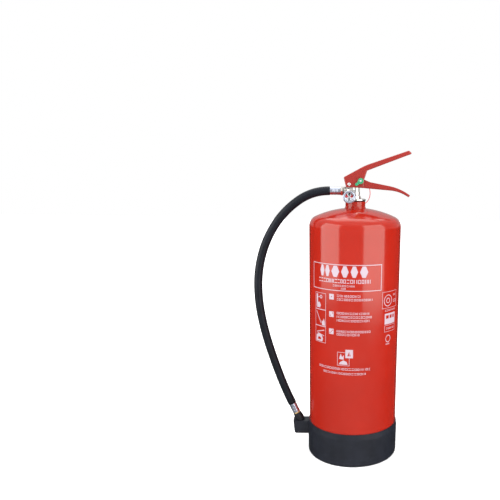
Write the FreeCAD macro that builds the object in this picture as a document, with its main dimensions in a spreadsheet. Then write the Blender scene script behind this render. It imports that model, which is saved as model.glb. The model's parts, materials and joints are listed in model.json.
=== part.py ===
"""Nine-litre stored-pressure water fire extinguisher, in millimetres.

Frame: +Z up, origin on the cylinder's axis at the face that the boot stands on.
The hose outlet and the nozzle holder lie towards -X, the levers towards +X, the gauge towards -Y.
"""
import FreeCAD, Part
import math
import os

import Sketcher

Vector = FreeCAD.Vector

DIMENSIONS = {
    # pressure vessel: a drawn shell with two torispherical ends
    "body_radius": 90.0,
    "shell_wall": 1.5,
    "crown_radius": 187.0,
    "knuckle_radius": 21.0,
    "foot_seam": 39.1,
    "dome_seam": 470.6,
    "neck_hole_radius": 16.4,
    # threaded neck ring welded into the upper dome
    "collar_radius": 19.3,
    "collar_bore": 14.8,
    "collar_top": 519.0,
    "collar_bottom": 500.0,
    "collar_waist": 509.4,
    "bead_radius": 21.0,
    "collar_chamfer": 1.0,
    # moulded boot with its nozzle holder
    "boot_height": 69.5,
    "boot_bore": 90.05,
    "boot_floor": 3.0,
    "boot_foot_radius": 92.6,
    "boot_belt_radius": 93.0,
    "boot_belt_height": 58.0,
    "boot_lip_radius": 91.5,
    "boot_round": 5.0,
    "boot_inner_bevel": 10.0,
    "holder_reach": 124.4,
    "holder_foot_reach": 121.8,
    "holder_root": 91.6,
    "holder_top": 63.5,
    "holder_bottom": 36.7,
    "holder_width": 26.0,
    "holder_round": 5.0,
    # lower end of the hose, and the lean of its last run and the nozzle from the vertical
    "hose_end_x": -126.9,
    "hose_end_z": 98.8,
    "nozzle_lean": 24.93291,
    # hose, its crimped ferrules and its two unions
    "hose_radius": 8.4,
    "hose_bore": 4.75,
    "ferrule_length": 21.0,
    "ferrule_radius": 7.5,
    "crimp_depth": 0.25,
    "crimp_spacing": 6.0,
    "crimp_length": 3.0,
    "crimp_slope": 0.6,
    "ferrule_bevel": 0.5,
    "tail_radius": 4.7,
    "tail_bore": 3.0,
    "tail_insert": 6.0,
    "union_hex": 16.4,
    "union_hex_length": 4.0,
    "union_bevel": 0.3,
    "washer_length": 1.0,
    "union_thread": 6.5,
    "union_thread_length": 9.5,
    "brass_flange": 2.3,
    "brass_radius": 7.7,
    "brass_bevel": 0.4,
    "nozzle_thread": 5.0,
    "nozzle_thread_length": 9.0,
    # nozzle: a grip that seats in the holder's mouth, and a snout below it
    "grip_top_radius": 8.0,
    "grip_radius": 9.3,
    "grip_taper": 10.0,
    "grip_length": 19.0,
    "snout_length": 21.0,
    "snout_radius": 6.0,
    "snout_tip_radius": 5.0,
    "orifice_radius": 2.4,
    "nozzle_throat": 5.0,
    "socket_play": 0.4,
    "socket_draft": 1.2,
    "socket_mouth_room": 0.3,
    "socket_tip_room": 1.5,
    # neck gasket and valve body
    "gasket_height": 2.0,
    "flange_radius": 20.2,
    "flange_height": 3.0,
    "flange_bevel": 1.4,
    "shank_depth": 22.0,
    "skirt_radius": 11.5,
    "skirt_top_radius": 9.7,
    "skirt_shoulder": 1.5,
    "skirt_height": 5.0,
    "column_radius": 8.2,
    "column_top": 544.4,
    "outlet_height": 538.2,
    "outlet_radius": 8.0,
    "outlet_reach": 24.0,
    "outlet_bevel": 0.8,
    "outlet_root_radius": 9.2,
    "outlet_root_length": 4.0,
    "outlet_bore": 3.6,
    "chamber_radius": 6.2,
    "seat_height": 529.0,
    "seat_bore": 4.0,
    "gland_floor": 543.5,
    "stem_radius": 2.5,
    "running_gap": 0.05,
    "ring_groove_floor": 546.0,
    "ring_groove_height": 2.6,
    "ring_groove_radius": 4.4,
    "ring_section": 0.9,
    "head_rear": 19.0,
    "head_front": 8.0,
    "head_bottom": 537.0,
    "head_top": 556.0,
    "head_half": 7.0,
    # gauge boss and pressure gauge
    "gauge_x": -11.9,
    "gauge_z": 527.2,
    "gauge_boss_radius": 6.0,
    "gauge_boss_reach": 19.5,
    "gauge_web_half": 6.0,
    "gauge_thread": 4.6,
    "gauge_thread_length": 8.0,
    "gauge_duct": 1.5,
    "gauge_duct_height": 527.0,
    "gauge_washer": 0.6,
    "gauge_washer_radius": 5.6,
    "gauge_neck_radius": 5.4,
    "gauge_case_back": 20.5,
    "gauge_case_radius": 10.9,
    "gauge_case_wall": 1.2,
    "gauge_case_bevel": 1.5,
    "gauge_bore": 0.8,
    "movement_radius": 6.4,
    "gauge_radius": 12.0,
    "bezel_back": 26.0,
    "bezel_front": 30.8,
    "bezel_round": 1.6,
    "bezel_lip": 1.0,
    "window_radius": 8.0,
    "lens_back": 28.4,
    "lens_height": 1.2,
    "dial_back": 23.6,
    "dial_height": 0.6,
    "dial_radius": 9.6,
    "needle_drop": 3.4,
    "needle_back": 25.4,
    "needle_height": 0.45,
    "needle_hub": 1.3,
    "needle_reach": 8.6,
    "needle_tail": 3.0,
    "needle_width": 1.3,
    "needle_pivot": 0.45,
    # lever pivot and the roll pin that stops the carry handle from turning
    "pivot_x": -12.5,
    "pivot_z": 551.3,
    "rivet_radius": 2.5,
    "rivet_head_radius": 3.2,
    "rivet_head_height": 1.1,
    "rivet_head_round": 0.8,
    "rivet_hollow": 1.5,
    "rivet_hollow_depth": 1.2,
    "head_clearance": 0.25,
    "roll_pin_x": 5.4,
    "roll_pin_z": 552.5,
    "roll_pin_radius": 1.25,
    # pressed steel channels
    "sheet_wall": 1.6,
    "press_round": 2.2,
    "handle_half": 8.6,
    "lever_half": 10.7,
    "lever_inner_half": 9.1,
    # operating lever, open underneath
    "lever_bend_x": 17.7,
    "lever_bend_z": 586.8,
    "lever_bend_radius": 120.0,
    "lever_rear_slope": 28.7,
    "lever_arm_slope": 19.1,
    "lever_rear_length": 47.0,
    "lever_arm_length": 87.4,
    "lever_arm_depth": 11.7,
    "lever_tip_depth": 7.5,
    "lever_tip_overhang": 4.4,
    "lever_tip_wall": 2.5,
    "lever_corner_round": 3.0,
    "lever_nose_round": 1.6,
    "lever_throat_x": 22.0,
    "lever_heel_x": 16.4,
    "lever_heel_z": 560.4,
    "lever_skirt_z": 544.8,
    "lever_toe_x": -18.4,
    "bridge_half": 4.0,
    "bridge_bottom": 562.0,
    "bridge_height": 1.6,
    # carry handle, open on top
    "handle_rear_x": -18.4,
    "handle_rear_bottom": 545.8,
    "handle_rear_top": 556.0,
    "handle_step_x": 7.3,
    "handle_ear_x": 9.2,
    "handle_ear_end": 13.5,
    "handle_ear_top": 561.4,
    "handle_web_x": 18.2,
    "handle_web_z": 544.1,
    "handle_shoulder_x": 28.0,
    "handle_shoulder_z": 555.6,
    "handle_bend_x": 67.0,
    "handle_bend_top": 548.4,
    "handle_bend_bottom": 540.3,
    "handle_tip_x": 105.2,
    "handle_tip_top": 531.6,
    "handle_tip_bottom": 528.2,
    "handle_tip_slant": 2.6,
    "handle_top_radius": 103.0,
    "handle_under_radius": 77.0,
    "handle_hollow_x": 99.0,
    "handle_hollow_z": 532.3,
    # safety pin, its tab and the tamper seal
    "pin_x": 9.6,
    "pin_z": 557.6,
    "pin_radius": 1.75,
    "pin_front": 14.6,
    "pin_head_radius": 2.1,
    "pin_head_height": 0.9,
    "pin_tail": 15.4,
    "pin_point": 1.0,
    "pin_eye_y": 13.3,
    "pin_eye_radius": 1.05,
    "pin_slot_half": 2.15,
    "lever_travel": 14.0,
    "tab_radius": 5.6,
    "tab_height": 3.2,
    "tab_round": 0.6,
    "tab_gap": 0.35,
    "tab_arm_length": 10.4,
    "tab_arm_half": 2.6,
    "tab_arm_angle": 219.6,
    "seal_radius": 0.7,
    "lock_width": 4.6,
    "lock_depth": 3.4,
    "lock_round": 0.6,
    # valve spindle, its spring and the dip tube below
    "spindle_bottom": 517.0,
    "spindle_tip_radius": 1.6,
    "disc_radius": 5.3,
    "disc_bottom": 522.5,
    "disc_top": 526.0,
    "seal_top": 528.9,
    "spindle_top": 561.85,
    "spindle_crown": 0.8,
    "spring_wire": 0.5,
    "spring_radius": 4.2,
    "spring_turns": 6.0,
    "adaptor_top": 511.0,
    "adaptor_collar": 9.0,
    "adaptor_bottom": 482.0,
    "dip_tube_bore": 5.0,
    "dip_tube_radius": 6.5,
    "dip_tube_top": 494.0,
    "dip_tube_bottom": 30.0,
    "strainer_radius": 8.2,
    "strainer_bottom": 9.0,
    "strainer_floor": 2.0,
    "strainer_top": 44.0,
    "strainer_slot": 3.0,
    "strainer_slot_height": 16.0,
}

# The hose's route in its plane, Y = 0, from the upper ferrule to the lower one: (x, z).
HOSE_ROUTE = [
    (-50.0, 538.2), (-84.0, 538.2), (-139.0, 499.0), (-175.0, 444.5), (-193.0, 381.5),
    (-193.4, 316.5), (-181.5, 252.5), (-163.0, 190.5), (-140.8, 128.7), (-126.9, 98.8),
]

# The tamper seal's loop, seen along +Y, from the top of its lock round to the lock's underside: (x, z).
SEAL_ROUTE = [
    (-10.6, 536.7), (-10.3, 543.5), (-5.5, 551.5), (3.0, 557.6), (16.2, 557.6),
    (23.2, 551.5), (28.6, 541.0), (29.0, 528.3), (24.2, 517.2), (14.8, 511.6),
    (3.6, 509.9), (-6.2, 514.0), (-10.9, 523.8), (-10.6, 531.2),
]
SEAL_LEAN = 16.0

doc = FreeCAD.newDocument("FireExtinguisher")
dim = doc.addObject("Spreadsheet::Sheet", "dim")
for row, (alias, number) in enumerate(DIMENSIONS.items(), start=1):
    dim.set(f"A{row}", alias)
    dim.set(f"B{row}", str(number))
    dim.setAlias(f"B{row}", alias)
doc.recompute()

nodes = {}


# ---------------------------------------------------------------- helpers

def value(expression):
    """The number that an expression of the sheet's cells gives."""
    result = dim.evalExpression(str(expression))
    return float(getattr(result, "Value", result))


def keep(obj, name):
    """Makes a document object the sub-part of this name."""
    obj.Label = name
    nodes[name] = obj
    return obj


def place(obj, base=("0", "0", "0"), axis=(0, 0, 1), angle="0"):
    """Binds an object's placement to expressions."""
    obj.Placement = FreeCAD.Placement(Vector(), FreeCAD.Rotation(Vector(*axis), value(angle)))
    for letter, expression in zip("xyz", base):
        obj.setExpression(f"Placement.Base.{letter}", expression)
    obj.setExpression("Placement.Rotation.Angle", angle)
    return obj


def arc_between(start, end, radius, clockwise):
    """The shorter arc from start to end, and which of its ends is the start."""
    chord = end - start
    left = Vector(-chord.y, chord.x, 0).normalize()
    if clockwise:
        left = left * -1
    rise = math.sqrt(radius ** 2 - chord.Length ** 2 / 4)
    centre = (start + end) * 0.5 + left * rise
    first, last = (end, start) if clockwise else (start, end)
    from_angle = math.atan2(first.y - centre.y, first.x - centre.x)
    to_angle = math.atan2(last.y - centre.y, last.x - centre.x)
    circle = Part.Circle(centre, Vector(0, 0, 1), radius)
    return Part.ArcOfCircle(circle, from_angle, to_angle)


def outline(body, name, corners, bends=None, plane="XZ_Plane", lift=None):
    """A closed, fully constrained sketch on one of the body's own planes.

    corners are pairs of expressions. bends gives an edge a radius, by the index of its first
    corner: a leading minus sign turns it clockwise.
    """
    bends = bends or {}
    sketch = body.newObject("Sketcher::SketchObject", name)
    support = next(feature for feature in body.Origin.OriginFeatures if feature.Role == plane)
    sketch.AttachmentSupport = [(support, "")]
    sketch.MapMode = "FlatFace"
    if lift:
        sketch.setExpression("AttachmentOffset.Base.z", lift)
    points = [Vector(value(across), value(up), 0) for across, up in corners]
    count = len(points)
    ends = []
    for index, start in enumerate(points):
        end = points[(index + 1) % count]
        if index in bends:
            clockwise = bends[index].startswith("-")
            radius = value(bends[index].lstrip("-"))
            sketch.addGeometry(arc_between(start, end, radius, clockwise))
            ends.append((2, 1) if clockwise else (1, 2))
        else:
            sketch.addGeometry(Part.LineSegment(start, end))
            ends.append((1, 2))
    for index in range(count):
        after = (index + 1) % count
        rule = Sketcher.Constraint("Coincident", index, ends[index][1], after, ends[after][0])
        sketch.addConstraint(rule)
    for index, (across, up) in enumerate(corners):
        for kind, expression in (("DistanceX", across), ("DistanceY", up)):
            rule = Sketcher.Constraint(kind, -1, 1, index, ends[index][0], value(expression))
            number = sketch.addConstraint(rule)
            sketch.setExpression(f"Constraints[{number}]", expression)
    for index, radius in bends.items():
        rule = Sketcher.Constraint("Radius", index, value(radius.lstrip("-")))
        number = sketch.addConstraint(rule)
        sketch.setExpression(f"Constraints[{number}]", radius.lstrip("-"))
    return sketch


def round_sketch(body, name, centre, radius, plane="XZ_Plane"):
    """A sketch of one circle."""
    sketch = body.newObject("Sketcher::SketchObject", name)
    support = next(feature for feature in body.Origin.OriginFeatures if feature.Role == plane)
    sketch.AttachmentSupport = [(support, "")]
    sketch.MapMode = "FlatFace"
    middle = Vector(value(centre[0]), value(centre[1]), 0)
    sketch.addGeometry(Part.Circle(middle, Vector(0, 0, 1), value(radius)))
    for kind, expression in (("DistanceX", centre[0]), ("DistanceY", centre[1])):
        number = sketch.addConstraint(Sketcher.Constraint(kind, -1, 1, 0, 3, value(expression)))
        sketch.setExpression(f"Constraints[{number}]", expression)
    number = sketch.addConstraint(Sketcher.Constraint("Radius", 0, value(radius)))
    sketch.setExpression(f"Constraints[{number}]", radius)
    return sketch


def new_body(name):
    """An empty body that becomes a sub-part."""
    body = doc.addObject("PartDesign::Body", name + "_body")
    return keep(body, name)


def revolve(body, name, corners, bends=None):
    """A full turn of a profile, given as (radius, height) corners, about the body's Z axis."""
    turn = body.newObject("PartDesign::Revolution", name)
    turn.Profile = outline(body, name + "_profile", corners, bends)
    turn.ReferenceAxis = (turn.Profile[0], ["V_Axis"])
    turn.Angle = 360
    doc.recompute()
    return turn


def turned(name, corners, bends=None, **placing):
    """A turned sub-part."""
    body = new_body(name)
    revolve(body, name + "_turn", corners, bends)
    return place(body, **placing)


def pad(body, name, sketch, length):
    """A pad of the given length, half of it on each side of the sketch."""
    feature = body.newObject("PartDesign::Pad", name)
    feature.Profile = sketch
    feature.SideType = "Symmetric"
    feature.setExpression("Length", length)
    doc.recompute()
    return feature


def one_sided_pad(body, name, sketch, length):
    """A pad that rises from its sketch."""
    feature = body.newObject("PartDesign::Pad", name)
    feature.Profile = sketch
    feature.setExpression("Length", length)
    doc.recompute()
    return feature


def pocket(body, name, sketch, length):
    """A pocket of the given length, half of it on each side of the sketch; it has to remove material."""
    before = body.Shape.Volume
    feature = body.newObject("PartDesign::Pocket", name)
    feature.Profile = sketch
    feature.SideType = "Symmetric"
    feature.setExpression("Length", length)
    doc.recompute()
    if body.Shape.Volume > before - 0.01:
        raise RuntimeError(f"{name} removes nothing")
    return feature


def fillet(body, name, base, edges, radius):
    """Rounds the named edges of a feature."""
    if not edges:
        raise RuntimeError(f"{name} has no edges")
    feature = body.newObject("PartDesign::Fillet", name)
    feature.Base = (base, edges)
    feature.setExpression("Radius", radius)
    doc.recompute()
    return feature


def edges_across(shape, corners, tolerance=0.05):
    """Names of the edges along Y that pass through the given (x, z) corners."""
    found = []
    for index, edge in enumerate(shape.Edges, start=1):
        low, high = edge.BoundBox.YMin, edge.BoundBox.YMax
        middle = edge.BoundBox.Center
        flat = edge.BoundBox.XLength < tolerance and edge.BoundBox.ZLength < tolerance
        for across, up in corners:
            near = abs(middle.x - value(across)) < tolerance and abs(middle.z - value(up)) < tolerance
            if flat and near and high - low > tolerance:
                found.append(f"Edge{index}")
    return found


def side_edges(shape, sketch, chosen, half, tolerance=0.05):
    """Names of the edges on both side faces, at Y = +half and -half, over the chosen sketch edges."""
    middles = []
    for index in chosen:
        curve = sketch.Geometry[index]
        middles.append(curve.value((curve.FirstParameter + curve.LastParameter) / 2))
    found = []
    for index, edge in enumerate(shape.Edges, start=1):
        middle = edge.valueAt((edge.FirstParameter + edge.LastParameter) / 2)
        on_side = abs(abs(middle.y) - value(half)) < tolerance
        over = any(abs(middle.x - m.x) < tolerance and abs(middle.z - m.y) < tolerance for m in middles)
        if on_side and over:
            found.append(f"Edge{index}")
    return found


def cylinder(name, radius, length, base, axis=(0, 0, 1), angle="0"):
    """A cylinder primitive with bound sizes."""
    obj = doc.addObject("Part::Cylinder", name)
    obj.setExpression("Radius", radius)
    obj.setExpression("Height", length)
    return place(obj, base, axis, angle)


def cone(name, radius_low, radius_high, height, base, axis=(0, 0, 1), angle="0"):
    """A cone primitive with bound sizes."""
    obj = doc.addObject("Part::Cone", name)
    obj.setExpression("Radius1", radius_low)
    obj.setExpression("Radius2", radius_high)
    obj.setExpression("Height", height)
    return place(obj, base, axis, angle)


def box(name, lengths, base):
    """A box primitive with bound sizes."""
    obj = doc.addObject("Part::Box", name)
    for side, expression in zip(("Length", "Width", "Height"), lengths):
        obj.setExpression(side, expression)
    return place(obj, base)


def fuse(name, shapes):
    """One solid of several."""
    obj = doc.addObject("Part::MultiFuse", name)
    obj.Shapes = shapes
    obj.Refine = True
    return obj


def cut(name, base, tool):
    """The base without the tool."""
    obj = doc.addObject("Part::Cut", name)
    obj.Base = base
    obj.Tool = tool
    return obj


ALONG_X = {"axis": (0, 1, 0), "angle": "90"}
ALONG_MINUS_X = {"axis": (0, 1, 0), "angle": "-90"}
ALONG_Y = {"axis": (1, 0, 0), "angle": "-90"}
ALONG_MINUS_Y = {"axis": (1, 0, 0), "angle": "90"}
ALONG_NOZZLE = {"axis": (0, 1, 0), "angle": "180 - dim.nozzle_lean"}

HOSE_END = ("dim.hose_end_x", "0", "dim.hose_end_z")
NOZZLE_FACE = "dim.ferrule_length + dim.brass_flange"

# ---------------------------------------------------------------- pressure vessel

CROWN_RISE = (
    "sqrt((dim.crown_radius - dim.knuckle_radius)^2"
    " - (dim.body_radius - dim.knuckle_radius)^2)"
)
CROWN_CENTRE = f"(dim.dome_seam - {CROWN_RISE})"


def crown_height(radius, inset="0"):
    """Height of the upper dome's crown at a distance from the axis."""
    return f"{CROWN_CENTRE} + sqrt((dim.crown_radius - {inset})^2 - ({radius})^2)"


def tangent_point(inset, seam, sign):
    """Where the crown meets the knuckle, above (+1) or below (-1) a seam."""
    reach = f"(dim.crown_radius - {inset})"
    span = "(dim.crown_radius - dim.knuckle_radius)"
    radius = f"{reach} * (dim.body_radius - dim.knuckle_radius) / {span}"
    rise = f"({reach} * {CROWN_RISE} / {span} - {CROWN_RISE})"
    return (radius, f"{seam} + ({sign}) * {rise}")


def make_cylinder_shell():
    hole = "dim.neck_hole_radius"
    wall = "dim.shell_wall"
    inner_radius = "dim.body_radius - dim.shell_wall"
    corners = [
        (hole, crown_height(hole, wall)),
        tangent_point(wall, "dim.dome_seam", 1),
        (inner_radius, "dim.dome_seam"),
        (inner_radius, "dim.foot_seam"),
        ("dim.body_radius", "dim.foot_seam"),
        ("dim.body_radius", "dim.dome_seam"),
        tangent_point("0", "dim.dome_seam", 1),
        (hole, crown_height(hole)),
    ]
    bends = {
        0: "-(dim.crown_radius - dim.shell_wall)",
        1: "-(dim.knuckle_radius - dim.shell_wall)",
        5: "dim.knuckle_radius",
        6: "dim.crown_radius",
    }
    turned("cylinder_shell", corners, bends)


def make_base_dome():
    apex = f"dim.foot_seam + {CROWN_RISE} - dim.crown_radius"
    corners = [
        ("0", apex),
        tangent_point("0", "dim.foot_seam", -1),
        ("dim.body_radius", "dim.foot_seam"),
        ("dim.body_radius - dim.shell_wall", "dim.foot_seam"),
        tangent_point("dim.shell_wall", "dim.foot_seam", -1),
        ("0", f"{apex} + dim.shell_wall"),
    ]
    bends = {
        0: "dim.crown_radius",
        1: "dim.knuckle_radius",
        3: "-(dim.knuckle_radius - dim.shell_wall)",
        4: "-(dim.crown_radius - dim.shell_wall)",
    }
    turned("base_dome", corners, bends)


def make_neck_collar():
    corners = [
        ("dim.collar_bore", "dim.collar_bottom"),
        ("dim.neck_hole_radius", "dim.collar_bottom"),
        ("dim.neck_hole_radius", crown_height("dim.neck_hole_radius")),
        ("dim.bead_radius", crown_height("dim.bead_radius")),
        ("dim.collar_radius", "dim.collar_waist"),
        ("dim.collar_radius", "dim.collar_top - dim.collar_chamfer"),
        ("dim.collar_radius - dim.collar_chamfer", "dim.collar_top"),
        ("dim.collar_bore", "dim.collar_top"),
    ]
    turned("neck_collar", corners, {2: "-dim.crown_radius"})


# ---------------------------------------------------------------- boot and nozzle holder

def make_base_boot():
    body = doc.addObject("PartDesign::Body", "boot_blank")
    corners = [
        ("0", "0"),
        ("dim.boot_foot_radius - dim.boot_round", "0"),
        ("dim.boot_foot_radius", "dim.boot_round"),
        ("dim.boot_belt_radius", "dim.boot_belt_height"),
        ("dim.boot_lip_radius", "dim.boot_height"),
        ("dim.boot_bore", "dim.boot_height"),
        ("dim.boot_bore", "dim.boot_floor + dim.boot_inner_bevel"),
        ("dim.boot_bore - dim.boot_inner_bevel", "dim.boot_floor"),
        ("0", "dim.boot_floor"),
    ]
    revolve(body, "boot_cup", corners, {1: "dim.boot_round"})
    holder_top = ("-dim.holder_reach", "dim.holder_top")
    holder_toe = ("-dim.holder_foot_reach", "dim.holder_bottom")
    holder = [
        ("-dim.holder_root", "dim.holder_bottom"),
        ("-dim.holder_root", "dim.holder_top"),
        holder_top,
        holder_toe,
    ]
    block = pad(body, "holder_block", outline(body, "holder_profile", holder), "dim.holder_width")
    outer = []
    for index, edge in enumerate(block.Shape.Edges, start=1):
        ends = [vertex.Point for vertex in edge.Vertexes]
        rise = abs(ends[0].z - ends[-1].z)
        upright = rise > value("dim.holder_top - dim.holder_bottom") - 1
        if upright and max(end.x for end in ends) < -value("dim.holder_foot_reach") + 1:
            outer.append(f"Edge{index}")
    outer += edges_across(block.Shape, [holder_toe])
    fillet(body, "holder_rounding", block, outer, "dim.holder_round")

    grip_end = f"{NOZZLE_FACE} + dim.grip_length"
    mouth = cylinder("socket_mouth", "dim.grip_radius + dim.socket_play",
                     f"{grip_end} + dim.socket_mouth_room", HOSE_END, **ALONG_NOZZLE)
    bore = cone("socket_bore", "dim.snout_radius + dim.socket_play + dim.socket_draft",
                "dim.snout_tip_radius + dim.socket_play",
                f"{grip_end} + dim.snout_length + dim.socket_tip_room", HOSE_END, **ALONG_NOZZLE)
    keep(cut("socketed_boot", body, fuse("socket", [mouth, bore])), "base_boot")


# ---------------------------------------------------------------- hose and its fittings

def swept_tube(points, radius, bore, label):
    """A tube along straight runs joined by tangent arcs, each as large as its two runs allow."""
    edges = []
    reached = points[0]
    tightest = None
    for before, corner, after in zip(points, points[1:], points[2:]):
        inward = (before - corner)
        outward = (after - corner)
        run = min(inward.Length, outward.Length)
        turn = math.pi - inward.getAngle(outward)
        bend = 0.45 * run / math.tan(turn / 2)
        tightest = bend if tightest is None else min(tightest, bend)
        inward = inward.normalize()
        outward = outward.normalize()
        start = corner + inward * (0.45 * run)
        end = corner + outward * (0.45 * run)
        to_centre = (inward + outward).normalize()
        centre = corner + to_centre * (bend / math.cos(turn / 2))
        middle = centre - to_centre * bend
        edges.append(Part.LineSegment(reached, start).toShape())
        edges.append(Part.Arc(start, middle, end).toShape())
        reached = end
    edges.append(Part.LineSegment(reached, points[-1]).toShape())
    path = Part.Wire(edges)
    direction = points[1] - points[0]

    def sweep(size):
        section = Part.Wire([Part.Circle(points[0], direction, size).toShape()])
        return path.makePipeShell([section], True, False)

    tube = sweep(radius)
    area = math.pi * radius ** 2
    if bore:
        tube = tube.cut(sweep(bore))
        area -= math.pi * bore ** 2
    expected = area * path.Length
    print(f"{label}: length {path.Length:.1f}, tightest arc {tightest:.1f}, "
          f"volume {tube.Volume:.0f} against {expected:.0f}")
    if abs(tube.Volume / expected - 1) > 0.01:
        raise RuntimeError(f"{label}'s volume is not its section times its length")
    return tube


def make_hose():
    points = [Vector(x, 0, z) for x, z in HOSE_ROUTE]
    hose = doc.addObject("Part::Feature", "hose_tube")
    hose.Shape = swept_tube(points, value("dim.hose_radius"), value("dim.hose_bore"), "hose")
    keep(hose, "hose")


def make_ferrule(name, start, **placing):
    """A crimped sleeve; start is where it begins along its own axis."""
    outer = "dim.ferrule_radius"
    crimp = "dim.ferrule_radius - dim.crimp_depth"
    corners = [
        ("dim.tail_radius", start),
        (f"{outer} - dim.ferrule_bevel", start),
        (outer, f"{start} + dim.ferrule_bevel"),
    ]
    for groove in (1, 2):
        first = f"{start} + {groove} * dim.crimp_spacing"
        last = f"{first} + dim.crimp_length"
        corners.append((outer, first))
        corners.append((crimp, f"{first} + dim.crimp_slope"))
        corners.append((crimp, f"{last} - dim.crimp_slope"))
        corners.append((outer, last))
    finish = f"{start} + dim.ferrule_length"
    corners.append((outer, f"{finish} - dim.ferrule_bevel"))
    corners.append((f"{outer} - dim.ferrule_bevel", finish))
    corners.append(("dim.tail_radius", finish))
    turned(name, corners, **placing)


OUTLET = ("0", "0", "dim.outlet_height")
UNION_FACE = "dim.outlet_reach + dim.washer_length"
FERRULE_FACE = f"{UNION_FACE} + dim.union_hex_length"


def make_outlet_washer():
    corners = [
        ("dim.union_thread", "dim.outlet_reach"),
        ("dim.outlet_radius - 0.2", "dim.outlet_reach"),
        ("dim.outlet_radius - 0.2", UNION_FACE),
        ("dim.union_thread", UNION_FACE),
    ]
    turned("outlet_washer", corners, base=OUTLET, **ALONG_MINUS_X)


def make_hose_union():
    body = new_body("hose_union")
    tail_end = f"{FERRULE_FACE} + dim.ferrule_length + dim.tail_insert"
    collar = "dim.union_hex / 2 - 0.1"
    corners = [
        ("dim.tail_bore", f"{UNION_FACE} - dim.union_thread_length"),
        ("dim.union_thread", f"{UNION_FACE} - dim.union_thread_length"),
        ("dim.union_thread", UNION_FACE),
        (collar, UNION_FACE),
        (collar, FERRULE_FACE),
        ("dim.tail_radius", FERRULE_FACE),
        ("dim.tail_radius", f"{tail_end} - 1"),
        ("dim.tail_radius - 0.6", tail_end),
        ("dim.tail_bore", tail_end),
    ]
    revolve(body, "union_turn", corners)
    reach = "dim.union_hex / sqrt(3)"
    hexagon = []
    for turn in range(30, 390, 60):
        hexagon.append((f"{reach} * cos({turn})", f"{reach} * sin({turn})"))
    first_flat = f"{UNION_FACE} + dim.union_bevel"
    flats = outline(body, "union_flats", hexagon, plane="XY_Plane", lift=first_flat)
    hexed = one_sided_pad(body, "union_hexagon", flats, "dim.union_hex_length - 2 * dim.union_bevel")
    before = hexed.Shape.Volume
    bore = round_sketch(body, "union_bore_circle", ("0", "0"), "dim.tail_bore", plane="XY_Plane")
    drill = body.newObject("PartDesign::Pocket", "union_bore")
    drill.Profile = bore
    drill.Type = "ThroughAll"
    drill.Reversed = True
    doc.recompute()
    if body.Shape.Volume > before - 1:
        raise RuntimeError("the union's bore removes nothing")
    place(body, base=OUTLET, **ALONG_MINUS_X)


def make_nozzle_union():
    corners = [
        ("dim.tail_bore", "-dim.tail_insert"),
        ("dim.tail_radius - 0.6", "-dim.tail_insert"),
        ("dim.tail_radius", "1 - dim.tail_insert"),
        ("dim.tail_radius", "dim.ferrule_length"),
        ("dim.brass_radius - dim.brass_bevel", "dim.ferrule_length"),
        ("dim.brass_radius", "dim.ferrule_length + dim.brass_bevel"),
        ("dim.brass_radius", f"{NOZZLE_FACE} - dim.brass_bevel"),
        ("dim.brass_radius - dim.brass_bevel", NOZZLE_FACE),
        ("dim.nozzle_thread", NOZZLE_FACE),
        ("dim.nozzle_thread", f"{NOZZLE_FACE} + dim.nozzle_thread_length"),
        ("dim.tail_bore", f"{NOZZLE_FACE} + dim.nozzle_thread_length"),
    ]
    turned("nozzle_union", corners, base=HOSE_END, **ALONG_NOZZLE)


def make_nozzle():
    grip_end = f"{NOZZLE_FACE} + dim.grip_length"
    tip = f"{grip_end} + dim.snout_length"
    corners = [
        ("dim.nozzle_thread", NOZZLE_FACE),
        ("dim.grip_top_radius - 0.8", NOZZLE_FACE),
        ("dim.grip_top_radius", f"{NOZZLE_FACE} + 0.8"),
        ("dim.grip_radius", f"{NOZZLE_FACE} + dim.grip_taper"),
        ("dim.grip_radius", f"{grip_end} - 1"),
        ("dim.grip_radius - 1", grip_end),
        ("dim.snout_radius", grip_end),
        ("dim.snout_tip_radius", f"{tip} - 1"),
        ("dim.snout_tip_radius - 1", tip),
        ("dim.orifice_radius", tip),
        ("dim.orifice_radius", f"{NOZZLE_FACE} + dim.nozzle_thread_length + dim.nozzle_throat"),
        ("dim.nozzle_thread", f"{NOZZLE_FACE} + dim.nozzle_thread_length + 0.5"),
    ]
    turned("nozzle", corners, base=HOSE_END, **ALONG_NOZZLE)


# ---------------------------------------------------------------- valve

GASKET_TOP = "dim.collar_top + dim.gasket_height"
FLANGE_TOP = f"{GASKET_TOP} + dim.flange_height"


def make_neck_gasket():
    corners = [
        ("dim.collar_bore", "dim.collar_top"),
        ("dim.collar_radius", "dim.collar_top"),
        ("dim.collar_radius", GASKET_TOP),
        ("dim.collar_bore", GASKET_TOP),
    ]
    turned("neck_gasket", corners)


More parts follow.
